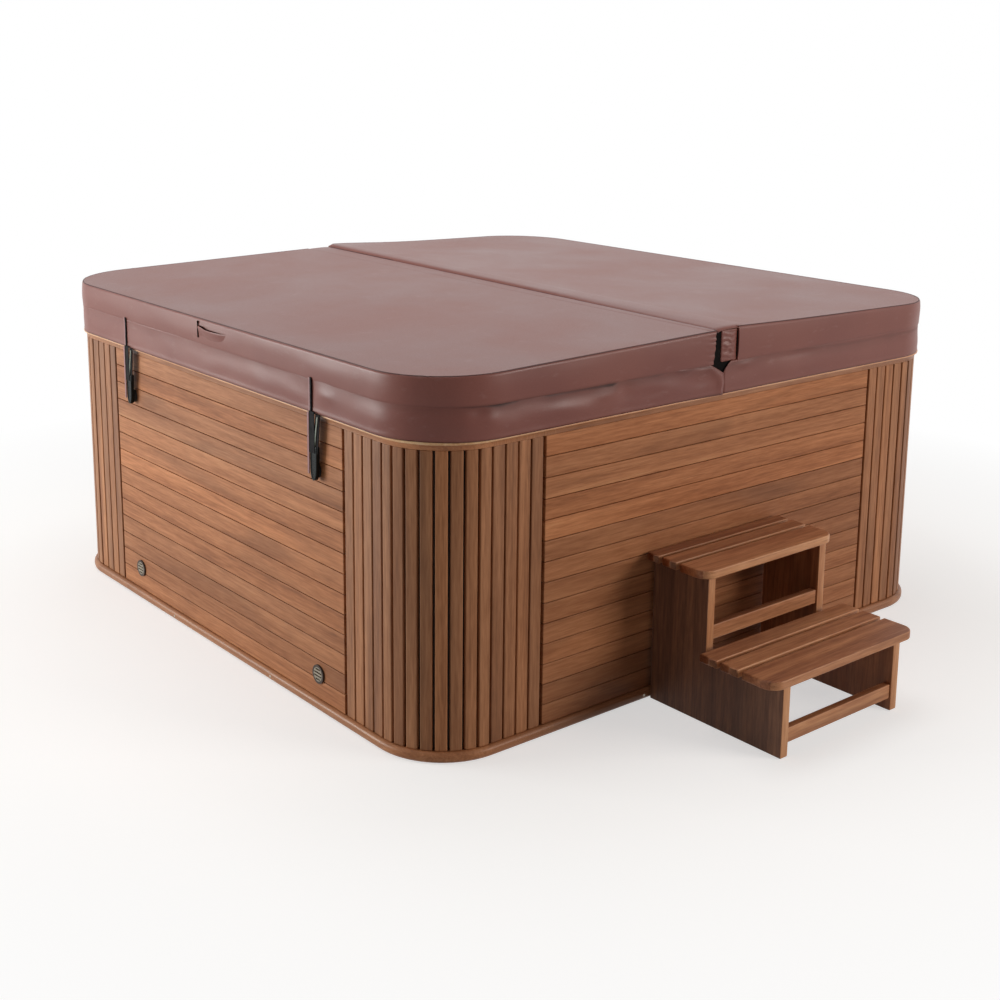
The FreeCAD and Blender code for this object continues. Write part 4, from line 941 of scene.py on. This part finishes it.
def cover_skirt(half, sign, start):
    """Vinyl that hangs from the pad's lower edge, notched where the skirts meet at the hinge."""
    rows = 24
    bm = bmesh.new()
    section = chain(bm, [(start, -COVER, row / rows) for row in range(rows + 1)])
    sweep(bm, section, edge_moves(start, 0.011))
    soil = bm.verts.layers.float.new("soil")
    for vert in bm.verts:
        x, y, row = vert.co
        length = around(x, y)
        away = outward(x, y)
        seam = along(SEAMS[sign], length)
        beside = x * sign - SKIRT_SPLIT
        at_end = abs(y) > COVER - 0.01
        notch = NOTCH_HEIGHT * max(0.0, 1.0 - abs(beside) / NOTCH_REACH[sign]) if at_end else 0.0
        top = COVER_LOW + max(0.0, seam) + 0.003 - notch
        sag = 0.003 * bell(length - 0.02, 0.12) if sign < 0 and y < 0 else 0.0
        z = SKIRT_LOW - sag * (1.0 - row) + row * (top - SKIRT_LOW)
        out = -0.0022 if row > 0.97 and notch < 0.001 else skirt_stand(length, z, sign)
        if sign < 0:
            out += 0.0016 * bell(beside, 0.02)
        drop = COVER_LOW + seam - z
        deep = along(CREASES[sign], length) / DEEP_CREASE
        shadow = 0.0055 + 0.0045 * drift(length * 14.0, 2.0 * sign, 6.0)
        # Painted shade along the crease under the seam and below the slack's bulge; the last term darkens the hem
        vert[soil] = 0.95 * deep * bell(drop - 0.002, shadow)
        vert[soil] += 0.3 * along(SLACKS[sign], length) / 0.006 * bell(drop - 0.014, 0.012)
        vert[soil] += 0.6 * bell(z - SKIRT_LOW, 0.0032)
        vert.co = (x + away.x * out, y + away.y * out, z)
    flip(bm, sign)
    made = finish_piece(half + "_hanging_skirt", bm, vinyl, half, "cover_vinyl", half + "_skirt")
    area = sum(face.area for face in made.data.polygons)
    length = around(0.0, COVER)
    wall = made.modifiers.new("stock", "SOLIDIFY")
    wall.thickness = 0.002
    wall.offset = -1.0
    area / length


def seal_block():
    """Padded bar that fills the hinge gap, with puckered ends."""
    low = Vector((-0.03, -COVER, 0.9425))
    high = Vector((0.0358, COVER, 1.0335))
    size = high - low
    bm = bmesh.new()
    box(bm, low, high)
    ease(bm, [e for e in bm.edges if abs(e.verts[0].co.y - e.verts[1].co.y) > 1.0], 0.006, 4)
    cuts = [((0, y / 100, 0), (0, 1, 0)) for y in range(-106, 107, 2)]
    cuts += [((0, way * y / 1000, 0), (0, 1, 0)) for y in (1045, 1050, 1055, 1058) for way in (-1, 1)]
    cuts += [((0, 0, z / 1000), (0, 0, 1)) for z in range(946, 1033, 3)]
    cuts += [((x / 1000, 0, 0), (1, 0, 0)) for x in range(-25, 33, 5)]
    for spot, direction in cuts:
        ops.bisect_plane(bm, geom=bm.verts[:] + bm.edges[:] + bm.faces[:], dist=0.00001,
                         plane_co=spot, plane_no=direction)
    soil = bm.verts.layers.float.new("soil")
    for vert in bm.verts:
        x, y, z = vert.co
        up = sin(pi * (z - low.z) / size.z)
        over = sin(pi * (x - low.x) / size.x)
        end = max(0.0, 1.0 - (COVER - abs(y)) / 0.05)
        lump = drift(x * 55.0, z * 60.0, 3.0)
        pucker = sin(z * 420.0 + 60.0 * x + 3.5 * lump)
        back = 0.0045 - 0.0035 * up * over - (0.0012 * pucker + 0.0016 * lump) * over
        # Painted shade in the pucker valleys at the ends
        vert[soil] = 0.45 * end * over * max(0.0, -pucker - 0.45)
        vert.co.y = copysign(abs(y) - end * back, y)
        vert.co.x = x - end * (0.0026 * up * max(0.0, (x - 0.004) / 0.032) + 0.0005 * pucker)
    made = finish_piece("hinge_seal_pad", bm, vinyl, "cover_right", "cover_vinyl", "hinge_seal")


# Top edge of the grip: place along the side and height
GRIP_TOP = [(-0.115, 0.9925), (-0.06, 0.9892), (0.0, 0.9892), (0.055, 0.9955), (0.107, 0.9955)]


def grip_bow(y):
    """Share by which the grip's top edge stands off along its length."""
    far = min(1.0, max(0.0, (0.063 - y) / 0.012))
    near = min(1.0, max(0.0, (y + 0.116) / 0.1))
    return eased(far) * near * (2 - near)


def cover_handle(half, sign):
    """Flat vinyl grip let into the cover's side, whose top edge stands off before its far end."""
    length, drop, stand = 0.214, 0.048, 0.0145
    bm = bmesh.new()
    ops.create_grid(bm, x_segments=80, y_segments=12, size=0.5)
    for vert in bm.verts:
        y = vert.co.x * length
        rise = vert.co.y + 0.5
        vert.co = (COVER - 0.003 + stand * grip_bow(y) * eased(rise), y, along(GRIP_TOP, y) - drop * (1.0 - rise))
    flip(bm, sign)
    made = finish_piece(half + "_grip", bm, vinyl, half, "cover_vinyl", half + "_handle")
    made.modifiers.new("stock", "SOLIDIFY").thickness = 0.0026
    rim = made.modifiers.new("rolled_edge", "BEVEL")
    rim.width = 0.001
    rim.segments = 2


def shade_tape_and_tack(half, sign):
    """Dark tape in the slot behind the grip's top edge, a painted shadow, and a dark bar across the grip's far end.
    """
    bm = bmesh.new()
    ops.create_grid(bm, x_segments=60, y_segments=2, size=0.5)
    for vert in bm.verts:
        y = -0.012 + vert.co.x * 0.144
        bow = grip_bow(y)
        deep = (0.5 - vert.co.y) * (0.001 + 0.007 * bow)
        vert.co = (COVER + 0.0034 + 0.0008 * bow, y, along(GRIP_TOP, y) + 0.0004 - deep)
    ops.solidify(bm, geom=bm.faces[:], thickness=0.0008)
    tack = box(bm, (COVER + 0.0005, 0.0627, 0.959), (COVER + 0.0056, 0.0653, 1.009))
    ease(bm, list({e for v in tack for e in v.link_edges}), 0.0007, 2)
    flip(bm, sign)
    finish_piece(half + "_grip_tacks", bm, gap_shade_vinyl, half, "cover_vinyl", even=True)


# Straps. Each tape: name, finish, slot, the run down the skirt (shift, width, stock),
# and the free runs below it (top, foot, shift at the top, shift at the foot, width, stock, stand)
TAPES = [
    ("_tab", strap_sheen_vinyl, "cover_vinyl", (0.0045, 0.008, 0.0022),
     [(0.853, 0.684, 0.0045, 0.0055, 0.008, 0.0024, 0.0042)]),
    ("_webbing", webbing, "black_plastic", (-0.0026, 0.0062, 0.003),
     [(0.857, 0.744, -0.011, -0.0118, 0.025, 0.0022, 0.0034),
      (0.851, 0.744, -0.035, -0.024, 0.02, 0.0022, -0.0002)]),
    # The pale strand is a lit copy of the black webbing, a painted highlight on the folded run
    ("_folded_end", lit_webbing, "black_plastic", None,
     [(0.846, 0.762, -0.037, -0.0215, 0.005, 0.0014, 0.003)]),
]
DRAPE = [0.947 - 0.006 * step for step in range(17)]
FREE_RUN = [step / 14 for step in range(15)]
# Outline of the buckle: place across from the strap and height
TONGUE = [(0.0012, 0.764), (0.0012, 0.7), (-0.0005, 0.682), (-0.0055, 0.67), (-0.0135, 0.666), (-0.0215, 0.67),
          (-0.0272, 0.683), (-0.0292, 0.702), (-0.031, 0.76), (-0.016, 0.769)]
TONGUE_FACE = 1.0655
TONGUE_STOCK = 0.0105
STRAP_PLACES = [("_front", -0.545), ("_back", 0.553)]
KEEPER_PLACES = [-0.553, 0.537]
KEEPER_MIDDLE = 0.691
KEEPER_STOCK = 0.0085


def ribbon(bm, points, width, stock):
    """A flat tape through points, with its width along the side and its stock outward."""
    near = chain(bm, [(x, y - width / 2, z) for x, y, z in points])
    made = ops.extrude_edge_only(bm, edges=only(near, BMEdge))["geom"]
    ops.translate(bm, verts=only(made, BMVert), vec=(0, width, 0))
    pull(bm, only(made, BMFace), (stock, 0, 0))


def strap(place, sign, y):
    """Vinyl tape down the skirt, and the two runs of webbing that meet in the buckle."""
    body = "strap_" + place
    for name, material, slot_name, drape, runs in TAPES:
        bm = bmesh.new()
        if drape:
            shift, width, stock = drape
            stands = [max(0.0, skirt_stand(around(COVER, y), z, sign)) + 0.0006 for z in DRAPE]
            ribbon(bm, [(COVER + stand, y + shift, z) for stand, z in zip(stands, DRAPE)], width, stock)
        for top, foot, first, last, width, stock, stand in runs:
            ribbon(bm, [(COVER + 0.0014 + stand, y + first + (last - first) * share, top + (foot - top) * share)
                        for share in FREE_RUN], width, stock)
        flip(bm, sign)
        replaced = [body] if material is strap_sheen_vinyl else []
        finish_piece(body + name, bm, material, body, slot_name, *replaced, sharp=40)


def tongue(place, sign, y):
    """Rounded buckle end with a sunk thumb face."""
    body = "strap_" + place
    bm = bmesh.new()
    outline = plate(bm, [(TONGUE_FACE, y + across, z) for across, z in TONGUE])
    pull(bm, [outline], (-TONGUE_STOCK, 0, 0))
    face_out(bm)
    ease(bm, [e for e in bm.edges if abs(e.verts[0].co.x - e.verts[1].co.x) > 0.005], 0.003, 3)
    face = max(bm.faces, key=lambda f: f.calc_center_median().x)
    ops.inset_region(bm, faces=[face], thickness=0.005, depth=0.0)
    ops.inset_region(bm, faces=[face], thickness=0.0012, depth=-0.0014)
    outer = [e for e in bm.edges if all(v.co.x > TONGUE_FACE - 0.0001 for v in e.verts)]
    ease(bm, [e for e in outer if any(abs(f.normal.x) < 0.5 for f in e.link_faces)], 0.0014, 3)
    flip(bm, sign)
    finish_piece(body + "_buckle", bm, buckle_plastic, body, "black_plastic", "tongue_" + place, sharp=40)


def keepers():
    """Shallow sockets on the cabinet that the buckle ends clip into."""
    bm = bmesh.new()
    for sign in (1, -1):
        for y in KEEPER_PLACES:
            place = Matrix.Translation((sign * CABINET, y, KEEPER_MIDDLE))
            turn = Matrix.Rotation(QUARTER, 4, "Y") @ Matrix.Diagonal((0.02, 0.014, 1.0, 1.0))
            made = ops.create_circle(bm, cap_ends=True, segments=24, radius=1.0, matrix=place @ turn)
            face = pull(bm, [made["verts"][0].link_faces[0]], (KEEPER_STOCK * sign, 0, 0))
            face_out(bm)
            ops.inset_region(bm, faces=face, thickness=0.003, depth=0.0)
            ops.inset_region(bm, faces=face, thickness=0.001, depth=-0.004)
    finish_piece("strap_keepers", bm, black_plastic, "tub", "black_plastic", "buckle_bases", sharp=40)


for side, sign, face in (("right", 1, RIGHT_FACE), ("left", -1, LEFT_FACE)):
    half = "cover_" + side
    cover_jacket(half, sign, face)
    cover_welt(half, sign, face)
    cover_skirt(half, sign, sign * SKIRT_SPLIT + 0.0007)
    cover_handle(half, sign)
    shade_tape_and_tack(half, sign)
    for end, y in STRAP_PLACES:
        strap(side + end, sign, y)
        tongue(side + end, sign, y)
hinge_strip()
hinge_shade_flaps()
seal_block()
keepers()


# Stage, lights and camera

def studio():
    """White floor that keeps the shadow near the object and is plain white farther off."""
    f = Finish("studio_floor")
    tint = f.mix(f.noise(0.7, 2.0), paint(203, 201, 199), paint(207, 205, 203))
    flat = f.node("ShaderNodeBsdfDiffuse", {"Color": tint})
    glow = f.node("ShaderNodeEmission", {"Color": WHITE, "Strength": 0.56})
    near = f.node("ShaderNodeAddShader", {0: flat, 1: glow})
    far = f.node("ShaderNodeEmission", {"Color": WHITE})
    spread = f.node("ShaderNodeVectorMath", {0: f.place}, "Value", operation="LENGTH")
    pale = f.node("ShaderNodeMixShader", {0: f.band(spread, 1.7, 3.0), 1: near, 2: far})
    chosen = f.node("ShaderNodeMixShader", {0: f.in_sight(), 1: flat, 2: pale})
    f.node("ShaderNodeOutputMaterial", {"Surface": chosen})
    bm = bmesh.new()
    ops.create_circle(bm, cap_ends=True, segments=96, radius=60.0)
    floor = mesh_object("studio_floor", bm, f.owner)
    floor.location.z = -0.0005


def studio_world():
    f = Finish("studio_world", bpy.data.worlds)
    dim = f.node("ShaderNodeBackground", {"Color": (1.0, 0.95, 0.9, 1.0), "Strength": 0.11})
    white = f.node("ShaderNodeBackground", {"Color": WHITE})
    chosen = f.node("ShaderNodeMixShader", {0: f.in_sight(), 1: dim, 2: white})
    f.node("ShaderNodeOutputWorld", {"Surface": chosen})
    bpy.context.scene.world = f.owner


def softbox(name, place, aim, size, power, colour=(1.0, 1.0, 1.0)):
    lamp = bpy.data.lights.new(name, "AREA")
    lamp.shape = "RECTANGLE"
    lamp.size, lamp.size_y = size
    lamp.energy = power
    lamp.color = colour
    holder = hold(name, lamp)
    holder.location = place
    holder.rotation_euler = (Vector(aim) - Vector(place)).to_track_quat("-Z", "Y").to_euler()


def viewpoint():
    """Camera as fitted to the photo, with its focal length as a share of the picture's width."""
    azimuth, elevation, roll = [radians(angle) for angle in (-39.578, 11.864, 0.588)]
    place = (-3.0946, -3.7895, 1.7957)
    focal = 1475.7 / 1000.0
    sensor = 36.0
    back = Vector((sin(azimuth) * cos(elevation), -cos(azimuth) * cos(elevation), sin(elevation)))
    level = Vector((cos(azimuth), sin(azimuth), 0.0))
    plumb = back.cross(level)
    right = level * cos(roll) + plumb * sin(roll)
    up = plumb * cos(roll) - level * sin(roll)
    lens = bpy.data.cameras.new("viewpoint")
    lens.sensor_width = sensor
    lens.lens = sensor * focal
    lens.shift_y = -0.14
    lens.clip_end = 200.0
    holder = hold("viewpoint", lens)
    holder.matrix_world = Matrix.Translation(place) @ Matrix((right, up, back)).transposed().to_4x4()
    bpy.context.scene.camera = holder


studio()
studio_world()
softbox("left_softbox", (-5.7, 3.9, 1.3), (-1.0, 0.0, 0.6), (3.6, 2.4), 332.0, (0.965, 1.0, 0.985))
softbox("right_softbox", (4.0, -7.0, 2.6), (0.2, -1.0, 0.5), (3.4, 2.8), 262.0, (1.0, 0.95, 0.89))
softbox("high_softbox", (-0.3, 0.8, 5.4), (0.0, 0.0, 0.9), (4.0, 4.0), 118.0)
viewpoint()
bpy.context.scene.view_settings.view_transform = "Standard"
